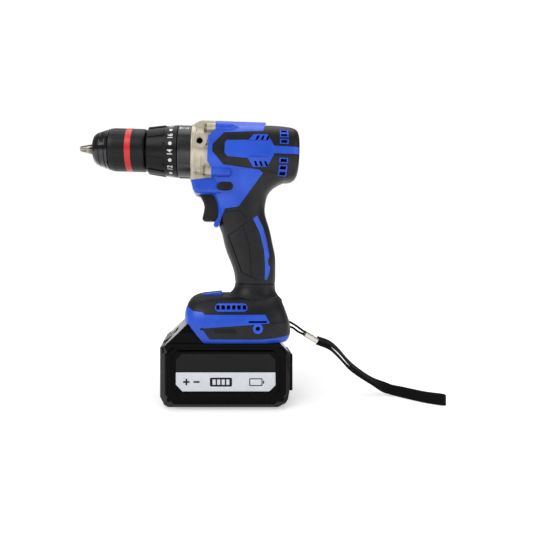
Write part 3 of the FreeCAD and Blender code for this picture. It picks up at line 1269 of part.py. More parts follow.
def pack_cases():
    outer = pack_form()
    outer = outer.makeFillet(1.1, [e for e in outer.Edges if e.Length > 3.0])
    cavity = pack_form(PACK_WALL, PACK_CHAMFER - 0.8 * PACK_WALL)
    label = prism(LABEL_OUTLINE, -PACK_HALF_WIDTH - 1, -PACK_HALF_WIDTH + LABEL_DEPTH)
    outer = outer.cut(label).cut(mirrored(label))
    snout = prism(snout_profile(), -SNOUT_HALF_WIDTH, SNOUT_HALF_WIDTH)
    corner = SNOUT_HALF_WIDTH - 4.0
    across = [
        (-SNOUT_HALF_WIDTH, 40.0), (-SNOUT_HALF_WIDTH, SNOUT_TOP - 6.0), (-corner, SNOUT_TOP + 0.1),
        (corner, SNOUT_TOP + 0.1), (SNOUT_HALF_WIDTH, SNOUT_TOP - 6.0), (SNOUT_HALF_WIDTH, 40.0),
    ]
    wire = Part.makePolygon([Vector(-FAR, y, z) for y, z in across + across[:1]])
    snout = snout.common(Part.Face(wire).extrude(Vector(2 * FAR, 0, 0)))
    neck = block(RAIL_FRONT, RAIL_END, -RAIL_NECK, RAIL_NECK, PACK_TOP - 1, RAIL_TOP)
    head = block(RAIL_FRONT, RAIL_END, -RAIL_HEAD, RAIL_HEAD, RAIL_HEAD_BOTTOM, RAIL_TOP)
    whole = fused([outer, snout, neck, head])
    hollow = [(-17.5, 46.0), (-3.0, 63.6), (-0.6, 64.6), (8.8, 52.0), (8.8, 46.0)]
    inner = cavity.fuse(prism(hollow, -SNOUT_HALF_WIDTH + 5.0, SNOUT_HALF_WIDTH - 5.0))
    slot_floor = PACK_TOP - PACK_WALL - 1.0
    slots = [block(40.0, 56.0, y - 1.2, y + 1.2, slot_floor, RAIL_TOP + 1) for y in (-12.0, 0.0, 12.0)]
    whole = whole.cut(inner).cut(Part.Compound(slots)).cut(latch_window()).cut(gauge_seat())
    low = block(-FAR, FAR, -FAR, FAR, -10.0, PACK_SPLIT)
    return whole.common(low), whole.cut(low)


def latch_window():
    return block(PACK_FRONT - 8.0, -8.0, -10.3, 10.3, 43.7, 60.6)


def release_button():
    """Thumb button in the sloping front of the pack."""
    outline = [(-23.4, 44.2), (-23.4, 50.6), (-13.4, 57.9), (-11.2, 57.9), (-11.2, 44.2)]
    button = prism(outline, -10.0, 10.0)
    grips = [block(-20.6 + 2.0 * i, -20.1 + 2.0 * i, -7.0, 7.0, 49.0, 70.0) for i in range(4)]
    for grip in grips:
        shallow = prism(grown(outline, -0.5), -11.0, 11.0)
        button = button.cut(grip.cut(shallow))
    return button


def gauge_seat():
    return block(PACK_REAR - 1.0, PACK_REAR + 9.0, -13.0, 13.0, 8.0, 40.5)


def gauge_panel():
    """Charge gauge on the rear of the pack, with four windows and a hole for its button."""
    body = block(PACK_REAR - 1.0, PACK_REAR + 6.2, -12.9, 12.9, 8.1, 40.4)
    rear_edges = [e for e in body.Edges if e.BoundBox.XMin > PACK_REAR + 6]
    body = body.makeFillet(1.2, rear_edges)
    for i in range(4):
        y = -7.5 + 5.0 * i
        body = body.cut(block(PACK_REAR + 5.4, PACK_REAR + 8, y - 1.4, y + 1.4, 31.0, 34.0))
    return body.cut(rod_x(4.3, PACK_REAR + 2.0, PACK_REAR + 9, 0, 20.0))


def gauge_button():
    cap = rod_x(4.0, PACK_REAR + 3.4, PACK_REAR + 6.8, 0, 20.0)
    return cap.makeFillet(0.5, [e for e in cap.Edges if e.BoundBox.XMin > PACK_REAR + 6.7])


def battery_cells():
    made = []
    start = (PACK_FRONT + PACK_REAR) / 2 - CELL_PITCH * (CELL_COLUMNS - 1) / 2
    for column in range(CELL_COLUMNS):
        for row in range(2):
            x = start + CELL_PITCH * column
            z = PACK_WALL + CELL_LIFT + CELL_RADIUS + row * CELL_PITCH
            made.append(rod_y(CELL_RADIUS, x, z, -CELL_LENGTH / 2, CELL_LENGTH / 2))
    return Part.Compound(made)


def battery_board():
    """Protection board over the cells with the three contact blades."""
    board = block(0.0, 72.0, -15.0, 15.0, 46.4, 48.0)
    blades = [block(41.0, 55.0, y - 0.6, y + 0.6, 47.5, RAIL_TOP - 0.6) for y in (-12.0, 0.0, 12.0)]
    return fused([board] + blades)


# ---------------------------------------------------------------- wrist strap
# Route points, in order.  The cord goes from the ferrule round the strap pin and back.
CORD_ROUTE = [
    (105.44, 0.0, 57.07), (100.9, 0.0, 60.3), (95.8, 0.0, 64.2), (89.6, 0.0, 67.5), (85.9, 0.0, 68.1),
    (83.6, 0.0, 66.1), (83.6, 0.0, 63.4), (85.9, 0.0, 61.5), (89.4, 0.0, 62.6), (94.6, 0.0, 61.4),
    (99.2, 0.0, 57.1), (104.32, 0.0, 55.19),
]
# The webbing leaves the ferrule, folds at its far end and comes back beside itself.
WEB_ROUTE = [
    (117.14, 0.0, 50.73), (122.5, 0.0, 49.1), (128.5, 0.0, 46.9), (133.6, 0.0, 42.9), (138.3, -0.1, 38.0),
    (143.9, -0.2, 31.1), (149.8, -0.4, 25.2), (159.0, -0.8, 18.2), (168.3, -1.3, 12.4), (176.0, -2.6, 8.6),
    (182.0, -4.2, 5.9), (188.0, -6.6, 4.8), (195.2, -13.0, 4.7), (204.2, -20.8, 4.7), (211.0, -24.6, 4.7),
    (216.2, -27.2, 4.7), (219.6, -27.6, 4.7), (220.6, -24.6, 4.7), (217.6, -22.9, 4.7),
    (212.2, -21.0, 4.7), (205.9, -17.9, 4.7), (197.2, -10.4, 4.7), (190.2, -4.1, 4.7), (183.6, -0.9, 4.9),
    (176.4, -0.4, 6.5), (168.0, -0.3, 9.9), (159.0, -0.2, 15.3), (149.8, 0.0, 21.3), (143.9, 0.0, 26.2),
    (138.3, 0.0, 32.7), (133.2, 0.0, 38.0), (128.0, 0.0, 42.9), (122.3, 0.0, 45.6), (115.46, 0.0, 47.91),
]


def rounded_path(points):
    """Straight runs joined by tangent arcs as large as the runs allow. Returns (wire, radii)."""
    corners = [Vector(*p) for p in points]
    edges = []
    radii = []
    last = corners[0]
    for before, here, after in zip(corners, corners[1:], corners[2:]):
        back, on = (before - here), (after - here)
        reach = 0.45 * min(back.Length, on.Length)
        back.normalize()
        on.normalize()
        turn = math.pi - back.getAngle(on)
        radius = reach / math.tan(turn / 2)
        radii.append(radius)
        start, end = here + back * reach, here + on * reach
        bisector = (back + on).normalize()
        middle = here + bisector * (radius / math.cos(turn / 2) - radius)
        edges.append(Part.LineSegment(last, start).toShape())
        edges.append(Part.Arc(start, middle, end).toShape())
        last = end
    edges.append(Part.LineSegment(last, corners[-1]).toShape())
    return Part.Wire(edges), radii


def tube_along(points, diameter, name):
    path, radii = rounded_path(points)
    direction = Vector(*points[1]) - Vector(*points[0])
    ring = Part.Wire([Part.makeCircle(diameter / 2, Vector(*points[0]), direction)])
    solid = path.makePipeShell([ring], True, True)
    expected = math.pi * diameter ** 2 / 4 * path.Length
    print(name, "length", round(path.Length, 1), "volume share", round(solid.Volume / expected, 4),
          "radii", [round(r, 1) for r in radii])
    return solid


def strap_ferrule():
    """Flattened metal sleeve that holds the cord's two ends and the webbing's two ends."""
    half_width, half_height = FERRULE_WIDTH / 2, FERRULE_HEIGHT / 2
    sleeve = block(0.0, FERRULE_LENGTH, -half_width, half_width, -half_height, half_height)
    sleeve = sleeve.makeFillet(1.8, [e for e in sleeve.Edges if e.BoundBox.XLength > FERRULE_LENGTH - 0.1])
    sleeve.rotate(Vector(0, 0, 0), Y_AXIS, FERRULE_FALL)
    sleeve.translate(Vector(*FERRULE_START))
    return sleeve


# ---------------------------------------------------------------- the whole tool
CORD_NAMES = ("strap_cord", "strap_ferrule", "strap_webbing")


def length_shift(pieces):
    """Moves the tool along X so that X = 0 is the middle of its length."""
    boxes = [piece.optimalBoundingBox(False) for name, piece in pieces.items() if name not in CORD_NAMES]
    return -(min(box.XMin for box in boxes) + max(box.XMax for box in boxes)) / 2


def build():
    """All the pieces, by node name."""
    left, soft = shells()
    lower_case, upper_case = pack_cases()
    names = {
        "left_shell": left,
        "right_shell": right_shell(left),
        "left_grip_overmould": soft[0],
        "right_grip_overmould": mirrored(soft[0]),
        "left_foot_overmould": soft[1],
        "right_foot_overmould": mirrored(soft[1]),
        "foot_bumpers": Part.Compound([soft[2], mirrored(soft[2])]),
        "shell_screws": shell_screws(),
        "trigger": trigger_piece(),
        "direction_button": direction_piece(),
        "trigger_switch": trigger_switch(),
        "trigger_spring": trigger_spring(),
        "control_board": control_board(),
        "terminal_block": terminal_block(),
        "lamp_bezel": lamp_bezel(),
        "lamp_lens": lamp_lens(),
        "battery_lower_case": lower_case,
        "battery_upper_case": upper_case,
        "battery_release_button": release_button(),
        "battery_gauge_panel": gauge_panel(),
        "battery_gauge_button": gauge_button(),
        "battery_cells": battery_cells(),
        "battery_board": battery_board(),
        "strap_pin": rod_y(STRAP_PIN_RADIUS, STRAP_PIN_X, STRAP_PIN_Z, -8.0, 8.0),
        "strap_cord": tube_along(CORD_ROUTE, CORD_DIAMETER, "strap_cord"),
        "strap_ferrule": strap_ferrule(),
        "strap_webbing": tube_along(WEB_ROUTE, WEB_TUBE_DIAMETER, "strap_webbing"),
    }
    jaws = around_x(jaw(), 3, 30.0)
    head = {
        "gear_case": gear_case(),
        "gear_case_screws": Part.Compound([socket_screw(13.0, SHELL_BOSS_END - 5, y, z) for y, z in BOSSES]),
        "torque_collar": torque_collar(),
        "mode_ring": mode_ring(),
        "clutch_spring": clutch_spring(),
        "clutch_ring_gear": clutch_ring_gear(),
        "sliding_ring_gear": sliding_ring_gear(),
        "speed_selector": speed_selector(),
        "spindle": output_spindle(),
        "input_carrier": input_carrier(),
        "chuck_body": chuck_body(),
        "chuck_rear_cover": chuck_rear_cover(),
        "chuck_screw": chuck_screw(),
        "chuck_sleeve": chuck_sleeve(),
        "chuck_sleeve_band": sleeve_band(),
        "chuck_jaw_nut": jaw_nut(),
        "motor_plate": motor_plate(),
        "motor_stator": stator(),
        "motor_windings": windings(),
        "shaft_bearings": Part.Compound([spindle_bearing(), motor_bearings()]),
        "motor_rotor": rotor(),
        "motor_pinion": motor_pinion(),
        "motor_fan": motor_fan(),
    }
    for i, piece in enumerate(jaws):
        head[f"chuck_jaw_{i + 1}"] = piece
    for i, angle in enumerate(PLANET_ANGLES):
        head[f"output_planet_{i + 1}"] = planet(angle, STAGE_B_X)
        head[f"input_planet_{i + 1}"] = planet(angle, STAGE_A_X)
    for name, piece in head.items():
        names[name] = to_tool(piece)
    return names


def main():
    os.makedirs("parts", exist_ok=True)
    pieces = build()
    shift = Vector(length_shift(pieces), 0, 0)
    for name, piece in pieces.items():
        solids = piece.Solids
        placed = Part.Compound(solids) if len(solids) > 1 else solids[0]
        placed = placed.copy()
        placed.translate(shift)
        placed.exportStep(f"parts/{name}.step")
        print(name, len(solids), "solids", round(placed.Volume / 1000, 2), "cm3", placed.isValid())
    print(len(pieces), "nodes; shift", round(shift.x, 4))


main()
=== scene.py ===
# %% [markdown]
# # A cordless hammer drill
# The hard parts of the drill were drawn as solids and packed into a frame, which this
# notebook loads. What is left is what an eye judges first: the finish of each moulding and
# casting, the marks on the dials, the woven strap, and the light. Everything is in metres.
# +X runs from the chuck to the rear of the motor and +Z is up. The camera's side is -Y.

# %% Load the frame
import math

import bpy
from mathutils import Matrix, Vector


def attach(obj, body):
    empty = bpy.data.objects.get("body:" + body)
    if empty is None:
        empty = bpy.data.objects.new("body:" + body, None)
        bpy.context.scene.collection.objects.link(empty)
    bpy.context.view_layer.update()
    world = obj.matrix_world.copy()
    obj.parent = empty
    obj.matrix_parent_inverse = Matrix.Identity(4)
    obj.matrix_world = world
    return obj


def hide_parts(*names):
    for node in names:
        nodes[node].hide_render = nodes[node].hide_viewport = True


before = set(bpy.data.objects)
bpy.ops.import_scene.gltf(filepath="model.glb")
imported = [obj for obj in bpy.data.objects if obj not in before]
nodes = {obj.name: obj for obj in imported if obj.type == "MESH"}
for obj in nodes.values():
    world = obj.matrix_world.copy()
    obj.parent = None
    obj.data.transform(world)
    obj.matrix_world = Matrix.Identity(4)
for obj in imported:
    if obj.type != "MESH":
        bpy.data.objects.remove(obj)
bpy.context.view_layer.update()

# %% [markdown]
# ## Camera
# The drill stands side-on, close to a short lens, so the near faces look larger than the
# far ones. The lens looks level from the height of the trigger and is shifted a little,
# which keeps uprights upright where turning the camera would make them lean.

# %% Camera
SHIFT = 0.0017573           # the drill was centred on X = 0 by this much
CAMERA_PLACE = (0.0240 + SHIFT, -0.3900, 0.1400)
FRAME_WIDTH = 0.4890        # how much the frame takes in at the middle of the drill

camera_data = bpy.data.cameras.new("camera")
camera_data.sensor_width = 36.0
camera_data.lens = 36.0 * -CAMERA_PLACE[1] / FRAME_WIDTH
camera_data.shift_x = 0.0945
camera_data.shift_y = -0.0464
camera = bpy.data.objects.new("camera", camera_data)
camera.location = CAMERA_PLACE
camera.rotation_euler = (math.radians(90), 0, 0)
bpy.context.scene.collection.objects.link(camera)
bpy.context.scene.camera = camera

# %% [markdown]
# ## Helpers
# A few small tools serve every step: one puts a mesh into the scene, one turns a hex
# colour into the linear numbers that shaders add up, and one adds a shader node with its
# settings and links in a single call.


# %% Helpers
def new_piece(name, mesh, body):
    """Puts a finished mesh in the scene and makes it ride on a body."""
    piece = bpy.data.objects.new(name, mesh)
    bpy.context.scene.collection.objects.link(piece)
    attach(piece, body)
    return piece


def hex_colour(code):
    """An sRGB hex colour as linear red, green, blue and alpha."""
    shares = [int(code[i:i + 2], 16) / 255 for i in (1, 3, 5)]
    return [c / 12.92 if c <= 0.04045 else ((c + 0.055) / 1.055) ** 2.4 for c in shares] + [1.0]


def add(tree, kind, inputs=None, **settings):
    """Adds a node. inputs maps a socket's name or number to a value or to another socket."""
    node = tree.nodes.new(kind)
    for setting, value in settings.items():
        setattr(node, setting, value)
    for socket, value in (inputs or {}).items():
        if isinstance(value, bpy.types.NodeSocket):
            tree.links.new(value, node.inputs[socket])
        else:
            node.inputs[socket].default_value = value
    return node


# %% [markdown]
# ## The wrist strap
# A thin cord loops round a pin in the foot. A flattened metal sleeve joins it to a loop of
# narrow webbing, which hangs to the floor, twists onto its edge and folds at its far end.
# Both follow a NURBS curve through a few listed control points, because a limp thing
# bends smoothly everywhere. The webbing is not a bevelled curve: its flat side turns as it
# falls, so a ribbon is built along points read from the curve, and each point is told
# which way the ribbon's width lies.

# %% Strap routes
CORD_POINTS = [
    (0.1071973, 0.0, 0.05707), (0.1026573, 0.0, 0.0603), (0.0975573, 0.0, 0.0642),
    (0.0913573, 0.0, 0.0675), (0.0876573, 0.0, 0.0681), (0.0853573, 0.0, 0.0661),
    (0.0853573, 0.0, 0.0634), (0.0876573, 0.0, 0.0615), (0.0911573, 0.0, 0.0626),
    (0.0963573, 0.0, 0.0614), (0.1009573, 0.0, 0.0571), (0.1060773, 0.0, 0.05519),
]
WEB_POINTS = [
    (0.1188973, 0.0, 0.05073), (0.1242573, 0.0, 0.0491), (0.1302573, 0.0, 0.0469),
    (0.1353573, 0.0, 0.0429), (0.1400573, -0.0001, 0.038), (0.1456573, -0.0002, 0.0311),
    (0.1515573, -0.0004, 0.0252), (0.1607573, -0.0008, 0.0182), (0.1700573, -0.0013, 0.0124),
    (0.1777573, -0.0026, 0.0086), (0.1837573, -0.0042, 0.0059), (0.1897573, -0.0066, 0.0048),
    (0.1969573, -0.013, 0.0047), (0.2059573, -0.0208, 0.0047), (0.2127573, -0.0246, 0.0047),
    (0.2179573, -0.0272, 0.0047), (0.2213573, -0.0276, 0.0047), (0.2223573, -0.0246, 0.0047),
    (0.2193573, -0.0229, 0.0047), (0.2139573, -0.021, 0.0047), (0.2076573, -0.0179, 0.0047),
    (0.1989573, -0.0104, 0.0047), (0.1919573, -0.0041, 0.0047), (0.1853573, -0.0009, 0.0049),
    (0.1781573, -0.0004, 0.0065), (0.1697573, -0.0003, 0.0099), (0.1607573, -0.0002, 0.0153),
    (0.1515573, 0.0, 0.0213), (0.1456573, 0.0, 0.0262), (0.1400573, 0.0, 0.0327),
    (0.1349573, 0.0, 0.038), (0.1297573, 0.0, 0.0429), (0.1240573, 0.0, 0.0456),
    (0.1172173, 0.0, 0.04791),
]


def nurbs_points(route, steps):
    """Points along the smooth curve that these control points make."""
    data = bpy.data.curves.new("route", "CURVE")
    data.dimensions = "3D"
    data.resolution_u = steps
    spline = data.splines.new("NURBS")
    spline.points.add(len(route) - 1)
    for point, place in zip(spline.points, route):
        point.co = (*place, 1.0)
    spline.order_u = 3
    spline.use_endpoint_u = True
    curve = bpy.data.objects.new("route", data)
    bpy.context.scene.collection.objects.link(curve)
    shape = bpy.data.meshes.new_from_object(curve.evaluated_get(bpy.context.evaluated_depsgraph_get()))
    points = [vertex.co.copy() for vertex in shape.vertices]
    bpy.data.objects.remove(curve)
    bpy.data.meshes.remove(shape)
    return points


def path_length(points):
    return sum((b - a).length for a, b in zip(points, points[1:]))


def swept_mesh(name, points, outline, width_at):
    """Sweeps a closed outline of (across, through) along points. The UV map is in metres."""
    vertices, faces, uvs = [], [], []
    count = len(outline)
    girth = [0.0]
    for a, b in zip(outline, outline[1:] + outline[:1]):
        girth.append(girth[-1] + math.dist(a, b))
    along = 0.0
    lengths = []
    for i, point in enumerate(points):
        tangent = (points[min(i + 1, len(points) - 1)] - points[max(i - 1, 0)]).normalized()
        along += (point - points[i - 1]).length if i else 0.0
        lengths.append(along)
        wide = width_at(i, along)
        wide = (wide - tangent * wide.dot(tangent)).normalized()
        thick = tangent.cross(wide)
        vertices += [point + wide * a + thick * b for a, b in outline]
    for i in range(len(points) - 1):
        for j in range(count):
            k = (j + 1) % count
            faces.append((i * count + j, i * count + k, (i + 1) * count + k, (i + 1) * count + j))
            uvs += [(girth[j], lengths[i]), (girth[j + 1], lengths[i]),
                    (girth[j + 1], lengths[i + 1]), (girth[j], lengths[i + 1])]
    last = (len(points) - 1) * count
    faces.append(tuple(range(count - 1, -1, -1)))
    faces.append(tuple(last + j for j in range(count)))
    uvs += [(0.0, 0.0)] * (2 * count)
    mesh = bpy.data.meshes.new(name)
    mesh.from_pydata(vertices, [], faces)
    layer = mesh.uv_layers.new(name="along")
    for loop, uv in zip(layer.data, uvs):
        loop.uv = uv
    for polygon in mesh.polygons:
        polygon.use_smooth = True
    return mesh


# %% Cord and webbing
CORD_WIDTH = 0.0020
WEB_WIDTH = 0.0090
WEB_THICKNESS = 0.0012
TWIST_START, TWIST_END = 0.166, 0.190   # where the webbing turns onto its edge, along X
LEAN_OUT, LEAN_BACK = 24, 15            # how far its two strands lean above that, in degrees

cord_path = nurbs_points(CORD_POINTS, 12)
circle = [(CORD_WIDTH / 2 * math.cos(a), CORD_WIDTH / 2 * math.sin(a))
          for a in (2 * math.pi * i / 14 for i in range(14))]
cord_mesh = swept_mesh("strap_cord_braid", cord_path, circle, lambda i, along: Vector((0, 1, 0)))
strap_cord_piece = new_piece("strap_cord_braid", cord_mesh, "housing")
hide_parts("strap_cord")

web_path = nurbs_points(WEB_POINTS, 12)
half, edge = WEB_WIDTH / 2, WEB_THICKNESS / 2
web_outline = [(half, 0.0), (half - edge * 0.7, edge)]
web_outline += [(half - edge * 0.7 - (2 * half - 1.4 * edge) * i / 8, edge) for i in range(1, 9)]
web_outline += [(-half, 0.0)] + [(-a, -b) for a, b in web_outline[1:]]


def web_width(i, along):
    """The webbing leaves the sleeve a little twisted and stands on its edge on the floor."""
    share = min(1.0, max(0.0, (web_path[i].x - TWIST_START) / (TWIST_END - TWIST_START)))
    lean = math.radians(LEAN_OUT if i < len(web_path) / 2 else LEAN_BACK)
    turn = lean + (math.radians(90) - lean) * share * share * (3 - 2 * share)
    return Vector((0, math.cos(turn), math.sin(turn)))


web_mesh = swept_mesh("strap_webbing_loop", web_path, web_outline, web_width)
strap_web_piece = new_piece("strap_webbing_loop", web_mesh, "housing")
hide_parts("strap_webbing")
print("cord", round(path_length(cord_path), 4), "m; webbing", round(path_length(web_path), 4), "m")

# %% [markdown]
# ## Floor and light
# The drill stands on a flat sheet of white paper, under three large soft lamps.
# The paper stays white to the camera through a Light Path switch, while the drill is lit
# at a plain level, so that each colour shows about as it is written.

# %% Stage
FLOOR_SIZE = 8.0
PAPER_LIFT = 0.45           # light that the paper seems to have of its own under the drill
FADE_START, FADE_END = 0.15, 0.75   # the paper turns plain white between these distances


def paper_material():
    """Paper that keeps the drill's shadow and, to the eye, fades to plain white away from it."""
    material = bpy.data.materials.new("white paper sweep")
    material.use_nodes = True
    tree = material.node_tree
    tree.nodes.clear()
    path = add(tree, "ShaderNodeLightPath")
    eye = add(tree, "ShaderNodeMath", {0: path.outputs["Is Camera Ray"], 1: path.outputs["Is Glossy Ray"]},
              operation="MAXIMUM")
    seen = add(tree, "ShaderNodeMath", {0: eye.outputs[0], 1: path.outputs["Is Transmission Ray"]},
               operation="MAXIMUM")
    place = add(tree, "ShaderNodeTexCoord").outputs["Object"]
    away = add(tree, "ShaderNodeVectorMath", {0: place}, operation="LENGTH")
    fade = add(tree, "ShaderNodeMapRange", {
        "Value": away.outputs["Value"], "From Min": FADE_START, "From Max": FADE_END,
        "To Min": PAPER_LIFT, "To Max": 1.0})
    paper = add(tree, "ShaderNodeBsdfDiffuse", {"Color": hex_colour("#F0F0F0")})
    lift = add(tree, "ShaderNodeEmission", {"Strength": fade.outputs["Result"]})
    both = add(tree, "ShaderNodeAddShader", {0: paper.outputs[0], 1: lift.outputs[0]})
    either = add(tree, "ShaderNodeMixShader", {0: seen.outputs[0], 1: paper.outputs[0], 2: both.outputs[0]})
    add(tree, "ShaderNodeOutputMaterial", {"Surface": either.outputs[0]})
    return material


floor_mesh = bpy.data.meshes.new("floor")
s = FLOOR_SIZE / 2
floor_mesh.from_pydata([(-s, -s, 0), (s, -s, 0), (s, s, 0), (-s, s, 0)], [], [(0, 1, 2, 3)])
floor = bpy.data.objects.new("floor", floor_mesh)
bpy.context.scene.collection.objects.link(floor)
floor_mesh.materials.append(paper_material())


def soft_lamp(name, place, target, size, power):
    data = bpy.data.lights.new(name, "AREA")
    data.shape = "RECTANGLE"
    data.size, data.size_y = size
    data.energy = power
    lamp = bpy.data.objects.new(name, data)
    lamp.location = place
    lamp.rotation_euler = (Vector(target) - Vector(place)).to_track_quat("-Z", "Y").to_euler()
    bpy.context.scene.collection.objects.link(lamp)
    return lamp


soft_lamp("key lamp", (-0.7, -0.9, 1.0), (0.0, 0.0, 0.13), (0.9, 0.9), 9.5)
soft_lamp("fill lamp", (1.0, -0.8, 0.5), (0.0, 0.0, 0.13), (0.8, 0.8), 2.6)
soft_lamp("top lamp", (0.0, 0.2, 1.3), (0.0, 0.0, 0.1), (1.2, 1.2), 7.0)

world = bpy.data.worlds.new("studio")
world.use_nodes = True
bpy.context.scene.world = world
sky = world.node_tree
sky.nodes.clear()
path = add(sky, "ShaderNodeLightPath")
seen = add(sky, "ShaderNodeMath", {0: path.outputs["Is Camera Ray"], 1: path.outputs["Is Transmission Ray"]},
           operation="MAXIMUM")
around = add(sky, "ShaderNodeBackground", {"Color": (1, 1, 1, 1), "Strength": 0.28})
behind = add(sky, "ShaderNodeBackground", {"Color": (1, 1, 1, 1), "Strength": 1.0})
either = add(sky, "ShaderNodeMixShader", {0: seen.outputs[0], 1: around.outputs[0], 2: behind.outputs[0]})
add(sky, "ShaderNodeOutputWorld", {"Surface": either.outputs[0]})

bpy.context.scene.view_settings.view_transform = "Standard"

# %% [markdown]
# ## Finishes
# Each finish starts from what the real surface is and how it was made. A moulded plastic
# takes its texture from the mould: spark-eroded steel leaves a fine even grain. A soft
# overmould is duller and coarser. All patterns are sized in millimetres on Object
# coordinates, and every finish rounds its sharp edges a little in the shading, because a
# real moulding has no knife edges and that thin highlight is what tells the eye so.


# %% Finish helpers
def start_finish(name, colour, roughness, metallic=0.0, edge=0.0003):
    """A material with a Principled shader. Returns (material, tree, shader, place, rounded normal)."""
    material = bpy.data.materials.new(name)
    material.use_nodes = True
    tree = material.node_tree
    tree.nodes.clear()
    shader = add(tree, "ShaderNodeBsdfPrincipled", {
        "Base Color": hex_colour(colour), "Roughness": roughness, "Metallic": metallic})
    add(tree, "ShaderNodeOutputMaterial", {"Surface": shader.outputs[0]})
    place = add(tree, "ShaderNodeTexCoord").outputs["Object"]
    rounded = add(tree, "ShaderNodeBevel", {"Radius": edge}, samples=4)
    tree.links.new(rounded.outputs[0], shader.inputs["Normal"])
    return material, tree, shader, place, rounded.outputs[0]


def grain(tree, shader, place, rounded, size, depth, detail=2.0):
    """Bumps of a noise whose grains are this large, in metres."""
    noise = add(tree, "ShaderNodeTexNoise", {
        "Vector": place, "Scale": 1.0 / size, "Detail": detail, "Roughness": 0.6})
    bump = add(tree, "ShaderNodeBump", {"Height": noise.outputs["Fac"], "Normal": rounded, "Distance": depth})
    tree.links.new(bump.outputs[0], shader.inputs["Normal"])
    return noise


def tone(tree, shader, place, dark, light, size, low=0.35, high=0.65):
    """Slow drift between two close colours, as in a real moulding."""
    noise = add(tree, "ShaderNodeTexNoise", {"Vector": place, "Scale": 1.0 / size, "Detail": 3.0})
    ramp = add(tree, "ShaderNodeValToRGB", {"Fac": noise.outputs["Fac"]})
    ramp.color_ramp.elements[0].position, ramp.color_ramp.elements[0].color = low, hex_colour(dark)
    ramp.color_ramp.elements[1].position, ramp.color_ramp.elements[1].color = high, hex_colour(light)
    tree.links.new(ramp.outputs["Color"], shader.inputs["Base Color"])
    return ramp


def blue_abs():
    """Injection-moulded ABS from a spark-eroded mould: satin, with an even 0.4 mm grain."""
    material, tree, shader, place, rounded = start_finish("blue moulded ABS", "#2459DE", 0.34)
    tone(tree, shader, place, "#1F52D4", "#2960E8", 0.018)
    grain(tree, shader, place, rounded, 0.0004, 0.00003)
    return material


def black_tpe():
    """Soft TPE overmould: dull, with a leather-like 0.6 mm pebble."""
    material, tree, shader, place, rounded = start_finish("black soft TPE", "#141416", 0.42, edge=0.0005)
    shader.inputs["Specular IOR Level"].default_value = 0.32
    tone(tree, shader, place, "#0F0F12", "#1A1A1E", 0.012)
    grain(tree, shader, place, rounded, 0.0006, 0.00006)
    return material


def black_nylon():
    """Glass-filled nylon: hard, near black, with a fine grain and a slight shine."""
    material, tree, shader, place, rounded = start_finish("black glass-filled nylon", "#08080A", 0.34)
    shader.inputs["Specular IOR Level"].default_value = 0.22
    tone(tree, shader, place, "#060607", "#0D0D0F", 0.01)
    grain(tree, shader, place, rounded, 0.0004, 0.00003)
    return material


def ribbed_nylon():
    """The same nylon off a polished mould: the ring's fine ribs each catch a line of light."""
    material, tree, shader, place, rounded = start_finish("polished glass-filled nylon", "#131315", 0.24)
    shader.inputs["Specular IOR Level"].default_value = 0.7
    tone(tree, shader, place, "#0F0F11", "#19191B", 0.01)
    return material


def pack_nylon():
    """The battery case's nylon: a little shinier, so its chamfers catch the light."""
    material, tree, shader, place, rounded = start_finish(
        "black battery-case nylon", "#050506", 0.2, edge=0.0008)
    shader.inputs["Specular IOR Level"].default_value = 0.07
    tone(tree, shader, place, "#030304", "#060607", 0.02)
    grain(tree, shader, place, rounded, 0.0005, 0.00003)
    return material


def painted_casting():
    """Die-cast alloy under champagne paint: a soft metallic sheen with a faint orange peel."""
    material, tree, shader, place, rounded = start_finish("champagne painted casting", "#CFC6B2", 0.36, 0.35)
    tone(tree, shader, place, "#C4BBA6", "#D6CEBB", 0.01)
    grain(tree, shader, place, rounded, 0.0014, 0.00006)
    return material


def blued_steel():
    """Polished black-oxide steel of the chuck's nose."""
    material, tree, shader, place, rounded = start_finish("polished black-oxide steel", "#2A2A2D", 0.14, 0.9)
    shader.inputs["Coat Weight"].default_value = 0.5
    shader.inputs["Coat Roughness"].default_value = 0.1
    grain(tree, shader, place, rounded, 0.004, 0.00002)
    return material


def ground_steel():
    """Hardened ground steel: bright, with a fine even grain."""
    material, tree, shader, place, rounded = start_finish("ground hardened steel", "#C9C4BA", 0.26, 1.0)
    grain(tree, shader, place, rounded, 0.0005, 0.00002)
    return material


def jaw_steel():
    """The jaws' hardened steel: darker, from the heat treatment, with ground flanks."""
    material, tree, shader, place, rounded = start_finish("heat-treated tool steel", "#77736B", 0.22, 1.0)
    tone(tree, shader, place, "#5B5851", "#9A958B", 0.003)
    grain(tree, shader, place, rounded, 0.0005, 0.00002)
    return material


def zinc_steel():
    """Zinc-plated screw steel: a dull yellowish grey."""
    material, tree, shader, place, rounded = start_finish("zinc-plated steel", "#8F8776", 0.4, 0.9)
    tone(tree, shader, place, "#6E6553", "#A79F8C", 0.002)
    return material


def red_band_plastic():
    """Gloss red moulded band."""
    material, tree, shader, place, rounded = start_finish("gloss red plastic", "#E3262C", 0.28)
    tone(tree, shader, place, "#DA1F26", "#EA3238", 0.01)
    grain(tree, shader, place, rounded, 0.0005, 0.00002)
    return material


def sleeve_rubber():
    """Stippled black sleeve of the chuck: coarse 0.7 mm pebbles with a satin top."""
    material, tree, shader, place, rounded = start_finish("stippled black sleeve", "#08080A", 0.36)
    shader.inputs["Specular IOR Level"].default_value = 0.25
    tone(tree, shader, place, "#050506", "#121214", 0.0016)
    grain(tree, shader, place, rounded, 0.0007, 0.00012)
    return material


def enamelled_copper():
    """Varnished copper wire."""
    material, tree, shader, place, rounded = start_finish("enamelled copper wire", "#B4632F", 0.3, 0.9)
    grain(tree, shader, place, rounded, 0.0006, 0.00010)
    return material


